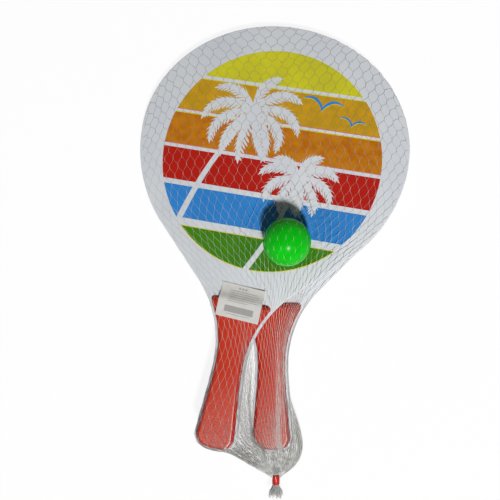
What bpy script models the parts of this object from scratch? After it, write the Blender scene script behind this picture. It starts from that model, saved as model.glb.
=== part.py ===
# Beach paddle set: two flat wooden paddles and a ball, packed together in a tied net bag.
# The set lies on its back, faces up, heads towards +Y. All sizes are in metres.

import math

import bmesh
import bpy
import numpy as np
from mathutils import Matrix, Vector
from mathutils.bvhtree import BVHTree

# Board of one paddle, drawn flat with the head's centre at the origin and the handle towards -Y
HEAD_WIDTH = 0.240
HEAD_RISE = 0.1064                 # from the head's centre to its flattened top
PADDLE_LENGTH = 0.380
NECK_SLOPE = math.radians(45)      # straight shoulders, measured from the handle's axis
WAIST_WIDTH = 0.0292               # narrowest part of the handle
WAIST_FROM_BUTT = 0.0787
HANDLE_ARC = 0.240                 # hollow side of the handle below the waist
BUTT_WIDTH = 0.0386
BUTT_CORNER = 0.0133
BUTT_ARC = 0.060
BOARD_THICKNESS = 0.005
BOARD_EDGE = 0.0008

# Moulded grip scales, one on each face
GRIP_LENGTH = 0.1324
GRIP_THICKNESS = 0.0045
GRIP_MARGIN = 0.0023               # bare board left showing round the grip
GRIP_CORNER = 0.0035
GRIP_ROUNDING = 0.0036

# Printed sun of six bands, heights measured from the sun's centre
SUN_DIAMETER = 0.195
SUN_DROP = 0.01275                 # the sun's centre lies below the head's centre
SUN_TURN = math.radians(1.4)
PRINT_THICKNESS = 0.0002
BAND_GAPS = ((0.0656, 0.0040), (0.0327, 0.0036), (0.0011, 0.0036), (-0.0305, 0.0056), (-0.0645, 0.0072))

# How the two paddles and the ball are packed
FAN_ANGLE = math.radians(10.67)
FAN_PIVOT_DROP = 0.005             # the paddles are fanned about a point just below the head's centre
BALL_DIAMETER = 0.041
BALL_PLACE = (0.0320, -0.0811)     # on the front paddle's face, in the paddle's own plane
SEAT_GAP = 0.0003                  # running gap between pieces that touch

# Net bag, tied at the handles and knotted behind the heads
THREAD_DIAMETER = 0.0008
NET_CELLS_ROUND = 11
NET_ROWS = 20
NET_ENDS = (0.030, 0.024)          # share of the way left open at the mouth and at the end knot
CHORD_ERROR = 0.0004
KNOT_SHARPNESS = 0.35              # keeps the block of a knot short where its threads run close together
TENT_RADIUS = 0.038                # round the ball, where the net comes down to the face again
TIE_DROP = 0.0261                  # the tie lies this far below the rear paddle's butt
TIE_ASIDE = 0.0036
MOUTH_FROM_TIE = 0.0170            # the free net ends here and the gathered neck begins
MOUTH_RADIUS = 0.0085
NECK_RADIUS = 0.0028
TAIL_LENGTH = 0.0170
TAIL_RADIUS = 0.0065
NECK_PLEATS = 12
PLEAT_DEPTH = 0.16
KNOT_PLACE = (0.0, -0.010)         # on the back of the rear head
KNOT_RADIUS = 0.0080
KNOT_HEIGHT = 0.0022

# Red tape wound round the neck
TAPE_WIDTH = 0.0080
TAPE_THICKNESS = 0.0006

# Paper label stuck to the net over the upper end of the front grip
LABEL_WIDTH = 0.0390
LABEL_HEIGHT = 0.0300
LABEL_THICKNESS = 0.00025
LABEL_DROP = 0.0019                # its middle lies this far below the grip's upper end
LABEL_ASIDE = -0.0003
LABEL_TURN = math.radians(-1.9)

ARC_STEP = math.radians(7.5)       # facet angle of the drawn arcs
ROUND_SEGMENTS = 2


def clear_scene():
    for old in list(bpy.data.objects):
        bpy.data.objects.remove(old, do_unlink=True)


def make_material(name, colour, roughness, metallic=0.0):
    material = bpy.data.materials.new(name)
    material.use_nodes = True
    shader = material.node_tree.nodes["Principled BSDF"]
    shader.inputs["Base Color"].default_value = (*colour, 1.0)
    shader.inputs["Roughness"].default_value = roughness
    shader.inputs["Metallic"].default_value = metallic
    material.diffuse_color = (*colour, 1.0)
    return material


# Drawing in the paddle's plane

def arc(centre, radius, start, end):
    steps = max(1, math.ceil(abs(end - start) / ARC_STEP))
    angles = [start + (end - start) * i / steps for i in range(steps + 1)]
    return [(centre[0] + radius * math.cos(a), centre[1] + radius * math.sin(a)) for a in angles]


def right_half_outline(inset=0.0):
    """Points down the board's right side from the top of the head to the middle of the butt."""
    half_head = HEAD_WIDTH / 2
    butt = HEAD_RISE - PADDLE_LENGTH
    waist_y = butt + WAIST_FROM_BUTT
    half_waist = WAIST_WIDTH / 2
    # Flattened top: half an ellipse, stepped by its own angle
    steps = math.ceil(math.radians(90) / ARC_STEP)
    top = [math.radians(90) * (1 - i / steps) for i in range(steps)]
    points = [((half_head - inset) * math.cos(a), (HEAD_RISE - inset) * math.sin(a)) for a in top]
    # Round side of the head down to the straight shoulder
    points += arc((0, 0), half_head - inset, 0, -NECK_SLOPE)
    # Hollow arc that is tangent to the shoulder and to the waist
    slope_cos, slope_sin = math.cos(NECK_SLOPE), math.sin(NECK_SLOPE)
    neck_radius = (half_waist * slope_cos - waist_y * slope_sin - half_head) / (1 - slope_cos)
    neck_centre = (half_waist + neck_radius, waist_y)
    points += arc(neck_centre, neck_radius + inset, math.pi - NECK_SLOPE, math.pi)
    # Hollow handle side, then the rounded corner and the shallow arc of the butt
    side_centre = (half_waist + HANDLE_ARC, waist_y)
    corner_x = BUTT_WIDTH / 2 - BUTT_CORNER
    corner_y = butt + BUTT_ARC - math.sqrt((BUTT_ARC - BUTT_CORNER) ** 2 - corner_x ** 2)
    across = side_centre[0] - corner_x
    along = side_centre[1] - corner_y
    turn = math.asin((HANDLE_ARC + BUTT_CORNER) / math.hypot(across, along))
    flare = math.atan2(along, across) + turn - math.radians(90)
    points += arc(side_centre, HANDLE_ARC + inset, math.pi, math.pi + flare)[1:]
    corner_end = math.atan2(corner_y - (butt + BUTT_ARC), corner_x)
    points += arc((corner_x, corner_y), BUTT_CORNER - inset, flare, corner_end)
    points += arc((0, butt + BUTT_ARC), BUTT_ARC - inset, corner_end, -math.radians(90))[1:]
    return points


def closed_outline(half):
    left = [(-x, y) for x, y in reversed(half) if abs(x) > 1e-6]
    return half + left


def board_outline():
    return closed_outline(right_half_outline())


def grip_top():
    """Height of the grip's upper end in the paddle's plane."""
    return HEAD_RISE - PADDLE_LENGTH + GRIP_MARGIN + GRIP_LENGTH


def grip_outline():
    """The board's outline drawn in by the margin and cut straight across at the top, corners rounded."""
    top = grip_top()
    half = right_half_outline(GRIP_MARGIN)
    below = [p for p in half if p[1] < top]
    above = half[half.index(below[0]) - 1]
    share = (top - below[0][1]) / (above[1] - below[0][1])
    corner = (below[0][0] + (above[0] - below[0][0]) * share, top)
    side = Vector((below[0][0] - corner[0], below[0][1] - corner[1])).normalized()
    # Round the corner between the straight top and the side that runs down from it
    opening = math.pi - math.acos(-side.x)
    reach = GRIP_CORNER / math.tan((math.pi - opening) / 2)
    centre = (corner[0] - reach, top - GRIP_CORNER)
    start = math.radians(90)
    end = math.atan2(side.x, -side.y)
    below = [p for p in below if p[1] < corner[1] + side.y * reach]
    return closed_outline([(0.0, top)] + arc(centre, GRIP_CORNER, start, end) + below)


def sun_outline():
    """The printed sun, one circle in the paddle's plane."""
    circle = arc((0, -SUN_DROP), SUN_DIAMETER / 2, 0, math.tau)
    return circle[:-1]


# Solids

def extruded(name, outlines, thickness, collection, material):
    """A flat plate with its mid plane at z = 0, from closed outlines, as one welded mesh."""
    curve = bpy.data.curves.new(name, "CURVE")
    curve.dimensions = "2D"
    curve.fill_mode = "BOTH"
    curve.extrude = thickness / 2
    for outline in outlines:
        spline = curve.splines.new("POLY")
        spline.points.add(len(outline) - 1)
        for point, (x, y) in zip(spline.points, outline):
            point.co = (x, y, 0.0, 1.0)
        spline.use_cyclic_u = True
    drawn = bpy.data.objects.new(name + "_outline", curve)
    collection.objects.link(drawn)
    return curve_to_mesh(drawn, name, collection, material)


def curve_to_mesh(drawn, name, collection, material):
    bpy.context.view_layer.update()
    evaluated = drawn.evaluated_get(bpy.context.evaluated_depsgraph_get())
    mesh = bpy.data.meshes.new_from_object(evaluated)
    mesh.name = name
    weld(mesh)
    solid = bpy.data.objects.new(name, mesh)
    solid.matrix_world = drawn.matrix_world
    bpy.data.objects.remove(drawn, do_unlink=True)
    collection.objects.link(solid)
    set_material(solid, material)
    return solid


def weld(mesh):
    work = bmesh.new()
    work.from_mesh(mesh)
    bmesh.ops.remove_doubles(work, verts=work.verts, dist=1e-6)
    bmesh.ops.recalc_face_normals(work, faces=work.faces)
    work.to_mesh(mesh)
    work.free()


def set_material(solid, material):
    solid.data.materials.clear()
    solid.data.materials.append(material)


def round_edges(solid, width, segments, z_sign=0):
    """Bevel the rim of a plate: both rims, or only the one on the side that z_sign gives."""
    work = bmesh.new()
    work.from_mesh(solid.data)
    weights = work.edges.layers.float.new("bevel_weight_edge")
    for edge in work.edges:
        a, b = (v.co for v in edge.verts)
        on_rim = abs(a.z - b.z) < 1e-6 and edge.calc_face_angle() > math.radians(60)
        edge[weights] = 1.0 if on_rim and (z_sign == 0 or a.z * z_sign > 0) else 0.0
    work.to_mesh(solid.data)
    work.free()
    bevel = solid.modifiers.new("rounding", "BEVEL")
    bevel.limit_method = "WEIGHT"
    bevel.width = width
    bevel.segments = segments
    bevel.use_clamp_overlap = True


def shade(solid, angle=35):
    solid.data.shade_smooth()
    solid.data.set_sharp_from_angle(angle=math.radians(angle))


def ring_loft(name, rings, collection, material):
    """A closed solid through rings of equal count, with a fan of faces on each end."""
    work = bmesh.new()
    loops = [[work.verts.new(p) for p in ring] for ring in rings]
    count = len(loops[0])
    for lower, upper in zip(loops, loops[1:]):
        for i in range(count):
            j = (i + 1) % count
            work.faces.new((lower[i], lower[j], upper[j], upper[i]))
    for loop in (loops[0], loops[-1]):
        middle = work.verts.new(sum((v.co for v in loop), Vector()) / count)
        for i in range(count):
            work.faces.new((loop[i], loop[(i + 1) % count], middle))
    bmesh.ops.recalc_face_normals(work, faces=work.faces)
    mesh = bpy.data.meshes.new(name)
    work.to_mesh(mesh)
    work.free()
    solid = bpy.data.objects.new(name, mesh)
    collection.objects.link(solid)
    set_material(solid, material)
    return solid


# One paddle, built flat round its own mid plane and then carried by an empty

def cut_band_gaps(printed, sign, carrier, cutters):
    """Part the sun into bands with grooves half as deep as the film."""
    for number, (height, gap) in enumerate(BAND_GAPS):
        bpy.ops.mesh.primitive_cube_add(size=1)
        groove = bpy.context.object
        groove.name = f"{printed.name}_gap_{number}"
        for home in list(groove.users_collection):
            home.objects.unlink(groove)
        cutters.objects.link(groove)
        turn = Matrix.Rotation(SUN_TURN, 4, "Z")
        reach = Matrix.Diagonal((SUN_DIAMETER * 1.1, gap, PRINT_THICKNESS, 1))
        groove.data.transform(turn @ Matrix.Translation((0, height, 0)) @ reach)
        groove.location = (0, -SUN_DROP, printed.location.z + sign * PRINT_THICKNESS / 2)
        groove.parent = carrier
        groove.hide_render = True
        groove.display_type = "WIRE"
        cut = printed.modifiers.new(f"gap_{number}", "BOOLEAN")
        cut.operation = "DIFFERENCE"
        cut.solver = "EXACT"
        cut.object = groove


def make_paddle(which, carrier, collection, cutters, materials):
    half = BOARD_THICKNESS / 2
    board = extruded(which + "_paddle_board", [board_outline()], BOARD_THICKNESS, collection, materials["board"])
    round_edges(board, BOARD_EDGE, 1)
    pieces = [board]
    for side, sign in (("front", 1), ("back", -1)):
        grip = extruded(f"{which}_paddle_grip_{side}", [grip_outline()], GRIP_THICKNESS, collection,
                        materials["grip"])
        round_edges(grip, GRIP_ROUNDING, ROUND_SEGMENTS, sign)
        grip.location.z = sign * (half + SEAT_GAP + GRIP_THICKNESS / 2)
        printed = extruded(f"{which}_paddle_print_{side}", [sun_outline()], PRINT_THICKNESS, collection,
                           materials["print"])
        printed.location.z = sign * (half + SEAT_GAP + PRINT_THICKNESS / 2)
        cut_band_gaps(printed, sign, carrier, cutters)
        pieces += [grip, printed]
    for piece in pieces:
        piece.parent = carrier
        shade(piece)


def carrier_empty(name, matrix, collection):
    empty = bpy.data.objects.new(name, None)
    empty.matrix_world = matrix
    collection.objects.link(empty)
    return empty


def packing_matrices():
    """Where the two paddles lie: each rests on its head's far rim and on the upper end of a grip."""
    span = HEAD_RISE - grip_top()
    step = GRIP_THICKNESS + SEAT_GAP
    rear_tilt = math.atan(step / span)
    front_tilt = rear_tilt + math.atan(2 * step / span)
    far_rim = Vector((0, HEAD_RISE, 0))
    rear = Matrix.Rotation(-rear_tilt, 4, "X")
    pivot = Vector((0, -FAN_PIVOT_DROP, 0))
    fan = Matrix.Translation(pivot) @ Matrix.Rotation(-FAN_ANGLE, 4, "Z") @ Matrix.Translation(-pivot)
    # Over the bare rim the boards part by this much, which leaves room for the two printed films
    sun_top = SUN_DIAMETER / 2 - SUN_DROP
    parting = 2 * step * (HEAD_RISE - sun_top) / span
    films = 2 * (PRINT_THICKNESS + SEAT_GAP) + SEAT_GAP
    lift = BOARD_THICKNESS + max(SEAT_GAP, films - parting)
    turn_about_rim = (Matrix.Translation(far_rim) @ Matrix.Rotation(rear_tilt - front_tilt, 4, "X")
                      @ Matrix.Translation(-far_rim))
    front = rear @ Matrix.Translation((0, 0, lift)) @ turn_about_rim @ fan
    return rear, front


# The wrap: the taut shape that the net is drawn over

def grown_hulls(groups, growth):
    """The convex hull of each group of points, every point grown into a small box, in one tree."""
    corners = [Vector((dx, dy, dz)) * growth for dx in (-1, 1) for dy in (-1, 1) for dz in (-1, 1)]
    work = bmesh.new()
    for points in groups:
        grown = [work.verts.new(p + corner) for p in points for corner in corners]
        bmesh.ops.convex_hull(work, input=grown, use_existing_faces=False)
    loose = [v for v in work.verts if not v.link_faces]
    bmesh.ops.delete(work, geom=loose, context="VERTS")
    tree = BVHTree.FromBMesh(work)
    work.free()
    return tree


def paddle_points(rear, front, mouth_centre):
    """Corners of both paddles with their grips, and the ring where the gathered neck begins."""
    points = []
    half = BOARD_THICKNESS / 2
    outer = half + SEAT_GAP + GRIP_THICKNESS
    for matrix in (rear, front):
        for x, y in board_outline():
            points += [matrix @ Vector((x, y, z)) for z in (-half, half)]
        for x, y in grip_outline():
            inner = Vector((x, y)) * (1 - GRIP_ROUNDING / PADDLE_LENGTH)
            points += [matrix @ Vector((inner.x, inner.y, z)) for z in (-outer, outer)]
    for x, z in arc((0, 0), MOUTH_RADIUS, 0, math.tau):
        points.append(mouth_centre + Vector((x, 0, z)))
    return points


def ball_points(front, ball_centre):
    """The ball, and the ring on the front paddle's face where the net comes down again."""
    points = []
    for tilt in np.linspace(0, math.pi, 13):
        for x, y in arc((0, 0), math.sin(tilt), 0, math.tau):
            points.append(ball_centre + Vector((x, y, math.cos(tilt))) * BALL_DIAMETER / 2)
    for x, y in arc(BALL_PLACE, TENT_RADIUS, 0, math.tau):
        points.append(front @ Vector((x, y, 0)))
    return points


def to_plane(way):
    return complex(way.x, way.y) / (1 - way.z)


def to_sphere(value):
    size = abs(value) ** 2
    return Vector((2 * value.real, 2 * value.imag, size - 1)) / (size + 1)


def net_knot_way(share, turn, poles):
    """Direction, on a unit sphere, of the point that lies this far along and round the bag."""
    first, last = poles
    growth = math.tan(share * math.pi / 2)
    polar = growth * complex(math.cos(turn), math.sin(turn))
    return to_sphere((first - last * polar) / (1 - polar))


def share_and_turn(way, poles):
    """How far along and round the bag a direction lies."""
    value = to_plane(way)
    polar = (value - poles[0]) / (value - poles[1])
    return math.atan(abs(polar)) * 2 / math.pi, math.atan2(polar.imag, polar.real)


def on_wrap(wrap, column, row):
    """Point and outward normal of the wrap where this column and row of the netting cross."""
    share = NET_ENDS[0] + (1 - sum(NET_ENDS)) * row / NET_ROWS
    turn = math.pi * column / NET_CELLS_ROUND + wrap["first_turn"]
    way = net_knot_way(share, turn, wrap["poles"])
    target = Vector(a * b for a, b in zip(way, wrap["spread"]))
    place, normal = wrap["tree"].ray_cast(wrap["middle"] + target * 20, -target.normalized())[:2]
    return place, normal if normal.dot(target) > 0 else -normal


def needed_points(path, error):
    """Indices of the points that a polyline needs to stay within the error of the path."""
    keep = [0, len(path) - 1]
    stack = [(0, len(path) - 1)]
    while stack:
        a, b = stack.pop()
        chord = path[b] - path[a]
        best, place = error, None
        for i in range(a + 1, b):
            away = (path[i] - path[a]).cross(chord).length / max(chord.length, 1e-9)
            if away > best:
                best, place = away, i
        if place is not None:
            keep.append(place)
            stack += [(a, place), (place, b)]
    return sorted(keep)


def thread_path(wrap, column, row, hand):
    """A thread from one knot to the next, bent where the wrap bends: its points and their normals."""
    steps = 40
    samples = [on_wrap(wrap, column + hand * i / steps, row + i / steps) for i in range(steps + 1)]
    places = [place for place, _ in samples]
    path = []
    for i in needed_points(places, CHORD_ERROR):
        near = [normal for _, normal in samples[max(i - 1, 0):i + 2]]
        path.append((places[i], sum(near, Vector()).normalized()))
    return path


def make_net(wrap, collection, material):
    """Diamond netting of square thread. Each knot is a small block that its threads share."""
    half = THREAD_DIAMETER / 2
    columns = 2 * NET_CELLS_ROUND
    threads = {}
    for row in range(NET_ROWS):
        for column in range(row % 2, columns, 2):
            for hand in (1, -1):
                threads[column, row, hand] = thread_path(wrap, column, row, hand)
    work = bmesh.new()

    def post(place, normal):
        return [work.verts.new(place + normal * half), work.verts.new(place - normal * half)]

    # The posts at a knot stand in the gaps between its threads, and each thread starts between two
    starts = {}
    for row in range(NET_ROWS + 1):
        for column in range(row % 2, columns, 2):
            leaving = []
            for hand, ahead in ((1, 1), (-1, 1), (-1, -1), (1, -1)):
                key = (column, row, hand) if ahead == 1 else ((column + hand) % columns, row - 1, -hand)
                if key in threads:
                    path = threads[key][::ahead]
                    leaving.append((key, ahead, (path[1][0] - path[0][0]).normalized(), path[0][1]))
                    place = path[0][0]
            normal = sum((one[3] for one in leaving), Vector()).normalized()
            posts = []
            for one, following in zip(leaving, leaving[1:] + leaving[:1]):
                across = normal.cross(one[2] - following[2]).normalized()
                reach = half / max(across.dot(normal.cross(one[2])), KNOT_SHARPNESS)
                posts.append(post(place + across * reach, normal))
            for number, one in enumerate(leaving):
                starts[one[0], one[1]] = (posts[number], posts[number - 1])
            if len(leaving) == 4:
                work.faces.new([top for top, _ in posts])
                work.faces.new([bottom for _, bottom in posts[::-1]])
    for key, path in threads.items():
        left, right = starts[key, 1]
        sections = [left + right[::-1]]
        for (before, _), (place, normal), (after, _) in zip(path, path[1:], path[2:]):
            side = normal.cross(after - before).normalized() * half
            sections.append(post(place + side, normal) + post(place - side, normal)[::-1])
        right, left = starts[key, -1]
        sections.append(left + right[::-1])
        for lower, upper in zip(sections, sections[1:]):
            for i in range(4):
                work.faces.new((lower[i - 1], lower[i], upper[i], upper[i - 1]))
    bmesh.ops.recalc_face_normals(work, faces=work.faces)
    mesh = bpy.data.meshes.new("net_bag")
    work.to_mesh(mesh)
    work.free()
    net = bpy.data.objects.new("net_bag", mesh)
    collection.objects.link(net)
    set_material(net, material)
    return net


def pleated_ring(centre, radius, pleats, depth, axis):
    """A ring of pleats round an axis, two points to a pleat."""
    ring = []
    for k in range(2 * pleats):
        turn = math.pi * k / pleats
        reach = radius * (1 - depth * (k % 2))
        across, up = reach * math.cos(turn), reach * math.sin(turn)
        ring.append(centre + (Vector((across, 0, up)) if axis == "Y" else Vector((across, up, 0))))
    return ring


def make_gather(tie_centre, collection, material):
    """The gathered end of the net: from the mouth down to the tie and out again into a short tail."""
    profile = (
        (MOUTH_FROM_TIE, MOUTH_RADIUS),
        (MOUTH_FROM_TIE * 0.55, MOUTH_RADIUS * 0.66),
        (TAPE_WIDTH / 2 + 0.001, NECK_RADIUS),
        (-TAPE_WIDTH / 2 - 0.001, NECK_RADIUS),
        (-TAIL_LENGTH * 0.55, TAIL_RADIUS * 0.72),
        (-TAIL_LENGTH, TAIL_RADIUS),
    )
    rings = [pleated_ring(tie_centre + Vector((0, along, 0)), radius, NECK_PLEATS, PLEAT_DEPTH, "Y")
             for along, radius in profile]
    return ring_loft("net_gathered_neck", rings, collection, material)


def make_knot(base, collection, material):
    """The net's far end, drawn together into a flat rosette behind the rear head."""
    profile = ((0.0, KNOT_RADIUS * 0.7), (0.3, KNOT_RADIUS), (0.7, KNOT_RADIUS * 0.8), (1.0, KNOT_RADIUS * 0.35))
    rings = [pleated_ring(base + Vector((0, 0, share * KNOT_HEIGHT)), radius, NECK_PLEATS, PLEAT_DEPTH, "Z")
             for share, radius in profile]
    return ring_loft("net_end_knot", rings, collection, material)


def make_tape(tie_centre, collection, material):
    """Red tape wound tightly round the neck, one closed band."""
    inner = NECK_RADIUS + SEAT_GAP
    outer = inner + TAPE_THICKNESS
    half = TAPE_WIDTH / 2
    profile = [(outer, half), (outer, -half), (inner, -half), (inner, half)]
    mesh = bpy.data.meshes.new("neck_tape")
    mesh.from_pydata([(x, 0, z) for x, z in profile], [(0, 1), (1, 2), (2, 3), (3, 0)], [])
    tape = bpy.data.objects.new("neck_tape", mesh)
    collection.objects.link(tape)
    turned = tape.modifiers.new("turned", "SCREW")
    turned.axis = "Z"
    turned.steps = 24
    turned.render_steps = 24
    turned.use_merge_vertices = True
    turned.merge_threshold = 1e-5
    set_material(tape, material)
    # The Screw turns about Z, and the neck runs along Y
    tape.matrix_world = Matrix.Translation(tie_centre) @ Matrix.Rotation(math.radians(90), 4, "X")
    return tape


def make_label(tree, front, collection, material):
    """Paper label that lies on the net and bends over the upper end of the grip."""
    columns, rows = 3, 8
    above = BALL_DIAMETER
    turn = Matrix.Rotation(LABEL_TURN, 2)
    down = (front.to_3x3() @ Vector((0, 0, -1))).normalized()
    work = bmesh.new()
    grid = []
    for j in range(rows + 1):
        line = []
        for i in range(columns + 1):
            flat = turn @ Vector((LABEL_WIDTH * (i / columns - 0.5), LABEL_HEIGHT * (j / rows - 0.5)))
            start = front @ Vector((LABEL_ASIDE + flat.x, grip_top() - LABEL_DROP + flat.y, above))
            line.append(work.verts.new(tree.ray_cast(start, down)[0]))
        grid.append(line)
    for lower, upper in zip(grid, grid[1:]):
        for i in range(columns):
            work.faces.new((lower[i], lower[i + 1], upper[i + 1], upper[i]))
    mesh = bpy.data.meshes.new("price_label")
    work.to_mesh(mesh)
    work.free()
    label = bpy.data.objects.new("price_label", mesh)
    collection.objects.link(label)
    paper = label.modifiers.new("paper", "SOLIDIFY")
    paper.thickness = LABEL_THICKNESS
    paper.offset = 1.0
    set_material(label, material)
    return label


def make_ball(centre, collection, material):
    bpy.ops.mesh.primitive_uv_sphere_add(segments=24, ring_count=12, radius=BALL_DIAMETER / 2, location=centre)
    ball = bpy.context.object
    ball.name = "ball"
    for home in list(ball.users_collection):
        home.objects.unlink(ball)
    collection.objects.link(ball)
    ball.data.shade_smooth()
    set_material(ball, material)
    return ball


def stand_on_floor(roots, collection):
    """Move everything so that the box of the whole set stands on z = 0, centred on the origin."""
    bpy.context.view_layer.update()
    graph = bpy.context.evaluated_depsgraph_get()
    low = np.full(3, np.inf)
    high = np.full(3, -np.inf)
    for solid in collection.objects:
        if solid.type != "MESH":
            continue
        shown = solid.evaluated_get(graph)
        mesh = shown.to_mesh()
        flat = np.empty(3 * len(mesh.vertices))
        mesh.vertices.foreach_get("co", flat)
        matrix = np.array(shown.matrix_world)
        placed = flat.reshape(-1, 3) @ matrix[:3, :3].T + matrix[:3, 3]
        low = np.minimum(low, placed.min(axis=0))
        high = np.maximum(high, placed.max(axis=0))
        shown.to_mesh_clear()
    shift = Vector((-(low[0] + high[0]) / 2, -(low[1] + high[1]) / 2, -low[2]))
    for root in roots:
        root.matrix_world = Matrix.Translation(shift) @ root.matrix_world


def main():
    clear_scene()
    parts = bpy.data.collections.new("beach_paddle_set")
    cutters = bpy.data.collections.new("cutters")
    for made in (parts, cutters):
        bpy.context.scene.collection.children.link(made)
    materials = {
        "board": make_material("white lacquered fibreboard", (0.80, 0.81, 0.82), 0.45),
        "grip": make_material("red moulded grip", (0.52, 0.045, 0.018), 0.45),
        "print": make_material("sun print", (0.60, 0.30, 0.02), 0.40),
        "ball": make_material("green ball", (0.02, 0.60, 0.02), 0.25),
        "net": make_material("white net thread", (0.80, 0.80, 0.80), 0.50),
        "tape": make_material("red closing tape", (0.45, 0.02, 0.015), 0.45),
        "label": make_material("paper label", (0.66, 0.64, 0.60), 0.80),
    }
    rear, front = packing_matrices()
    rear_paddle = carrier_empty("rear_paddle", rear, parts)
    front_paddle = carrier_empty("front_paddle", front, parts)
    make_paddle("rear", rear_paddle, parts, cutters, materials)
    make_paddle("front", front_paddle, parts, cutters, materials)

    face = BOARD_THICKNESS / 2 + SEAT_GAP + PRINT_THICKNESS + SEAT_GAP
    ball_centre = front @ Vector((*BALL_PLACE, face + BALL_DIAMETER / 2))
    ball = make_ball(ball_centre, parts, materials["ball"])

    half = BOARD_THICKNESS / 2
    thread_reach = THREAD_DIAMETER / math.sqrt(2)
    growth = thread_reach + SEAT_GAP + CHORD_ERROR
    # The lowest point of everything packed fixes the floor that the neck lies on
    lowest = (rear @ Vector((0, grip_top(), -(half + SEAT_GAP + GRIP_THICKNESS)))).z
    floor = lowest - growth - THREAD_DIAMETER / 2
    tie_y = HEAD_RISE - PADDLE_LENGTH - TIE_DROP
    tie_centre = Vector((TIE_ASIDE, tie_y, floor + MOUTH_RADIUS + growth + THREAD_DIAMETER / 2))
    mouth_centre = tie_centre + Vector((0, MOUTH_FROM_TIE + growth + thread_reach + SEAT_GAP, 0))

    paddles = paddle_points(rear, front, mouth_centre)
    tent = ball_points(front, ball_centre)
    middle = (mouth_centre + Vector((0, HEAD_RISE, 0))) / 2
    middle.z = (rear @ Vector((0, middle.y, 0))).z + half
    spread = (HEAD_WIDTH / 2, (HEAD_RISE - mouth_centre.y) / 2, 2 * BOARD_THICKNESS)
    knot_base = Vector((*KNOT_PLACE, floor + SEAT_GAP))
    ways = []
    for place in (mouth_centre, knot_base, ball_centre):
        ways.append(Vector(a / b for a, b in zip(place - middle, spread)).normalized())
    poles = [to_plane(way) for way in ways[:2]]
    # One knot of every second row lies over the ball
    wrap = {
        "tree": grown_hulls([paddles, tent], growth),
        "middle": middle,
        "spread": spread,
        "poles": poles,
        "first_turn": share_and_turn(ways[2], poles)[1],
    }
    net = make_net(wrap, parts, materials["net"])
    gather = make_gather(tie_centre, parts, materials["net"])
    knot = make_knot(knot_base, parts, materials["net"])
    tape = make_tape(tie_centre, parts, materials["tape"])
    outside = grown_hulls([paddles], growth + thread_reach + SEAT_GAP)
    label = make_label(outside, front, parts, materials["label"])
    stand_on_floor([rear_paddle, front_paddle, ball, net, gather, knot, tape, label], parts)


main()
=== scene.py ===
import math
import random

import bmesh
import bpy
import numpy as np
from mathutils import Matrix, Vector
from mathutils.bvhtree import BVHTree


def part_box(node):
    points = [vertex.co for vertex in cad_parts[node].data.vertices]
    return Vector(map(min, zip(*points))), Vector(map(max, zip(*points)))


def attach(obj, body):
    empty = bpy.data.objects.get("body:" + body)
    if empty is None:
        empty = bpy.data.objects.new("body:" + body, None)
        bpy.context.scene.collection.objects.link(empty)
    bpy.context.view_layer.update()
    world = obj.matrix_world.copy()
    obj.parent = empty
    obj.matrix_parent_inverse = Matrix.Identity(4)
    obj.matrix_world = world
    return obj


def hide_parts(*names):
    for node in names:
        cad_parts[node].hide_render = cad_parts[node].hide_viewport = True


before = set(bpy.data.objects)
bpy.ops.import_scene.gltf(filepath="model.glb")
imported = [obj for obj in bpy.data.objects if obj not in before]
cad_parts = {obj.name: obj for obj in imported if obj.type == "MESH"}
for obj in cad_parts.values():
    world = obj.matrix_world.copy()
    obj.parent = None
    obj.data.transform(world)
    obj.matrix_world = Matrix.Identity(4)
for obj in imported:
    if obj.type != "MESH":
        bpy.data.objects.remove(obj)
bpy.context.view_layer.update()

mm = 0.001


# Small tools

def linear(hexColour):
    # sRGB hex to the linear colour that a shader takes
    parts = [int(hexColour[i:i + 2], 16) / 255 for i in (1, 3, 5)]
    return tuple(c / 12.92 if c <= 0.04045 else ((c + 0.055) / 1.055) ** 2.4 for c in parts) + (1.0,)


def smooth(x, low, high):
    # 0 up to low, 1 from high on, with an even curve between
    t = np.clip((x - low) / (high - low), 0, 1)
    return t * t * (3 - 2 * t)


def feed(tree, node, inputs):
    # an input is a number, a colour or another node's output
    for name, value in inputs.items():
        if isinstance(value, bpy.types.NodeSocket):
            tree.links.new(value, node.inputs[name])
        else:
            node.inputs[name].default_value = linear(value) if isinstance(value, str) else value


def addNode(tree, kind, inputs=None, stops=(), **settings):
    node = tree.nodes.new(kind)
    for name, value in settings.items():
        setattr(node, name, value)
    feed(tree, node, inputs or {})
    if stops:
        ends = node.color_ramp.elements
        while len(ends) < len(stops):
            ends.new(0.5)
        for end, (place, colour) in zip(ends, stops):
            end.position = place
            end.color = linear(colour)
    return node


def objectPlace(tree):
    return addNode(tree, "ShaderNodeTexCoord").outputs["Object"]


def noise(tree, size, detail, roughness=0.5, place=None):
    # cloudy noise with blotches of about this size
    inputs = {"Vector": place or objectPlace(tree), "Scale": 1 / size,
              "Detail": detail, "Roughness": roughness}
    return addNode(tree, "ShaderNodeTexNoise", inputs).outputs[0]


def ramp(tree, value, *stops):
    return addNode(tree, "ShaderNodeValToRGB", {0: value}, stops).outputs[0]


def mapped(tree, value, low, high, first=0.0, last=1.0):
    # what runs from low to high now runs from first to last
    return addNode(tree, "ShaderNodeMapRange", {0: value, 1: low, 2: high, 3: first, 4: last}).outputs[0]


def calc(tree, operation, value, *others):
    for other in others:
        value = addNode(tree, "ShaderNodeMath", {0: value, 1: other}, operation=operation).outputs[0]
    return value


def scaled(tree, colour, share):
    return addNode(tree, "ShaderNodeVectorMath", {0: colour, "Scale": share}, operation="SCALE").outputs[0]


def blend(tree, share, colour, other):
    return addNode(tree, "ShaderNodeMix", {0: share, 6: colour, 7: other}, data_type="RGBA").outputs[2]


def relief(tree, height, strength, depth):
    inputs = {"Strength": strength, "Distance": depth, "Height": height}
    return addNode(tree, "ShaderNodeBump", inputs).outputs[0]


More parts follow.
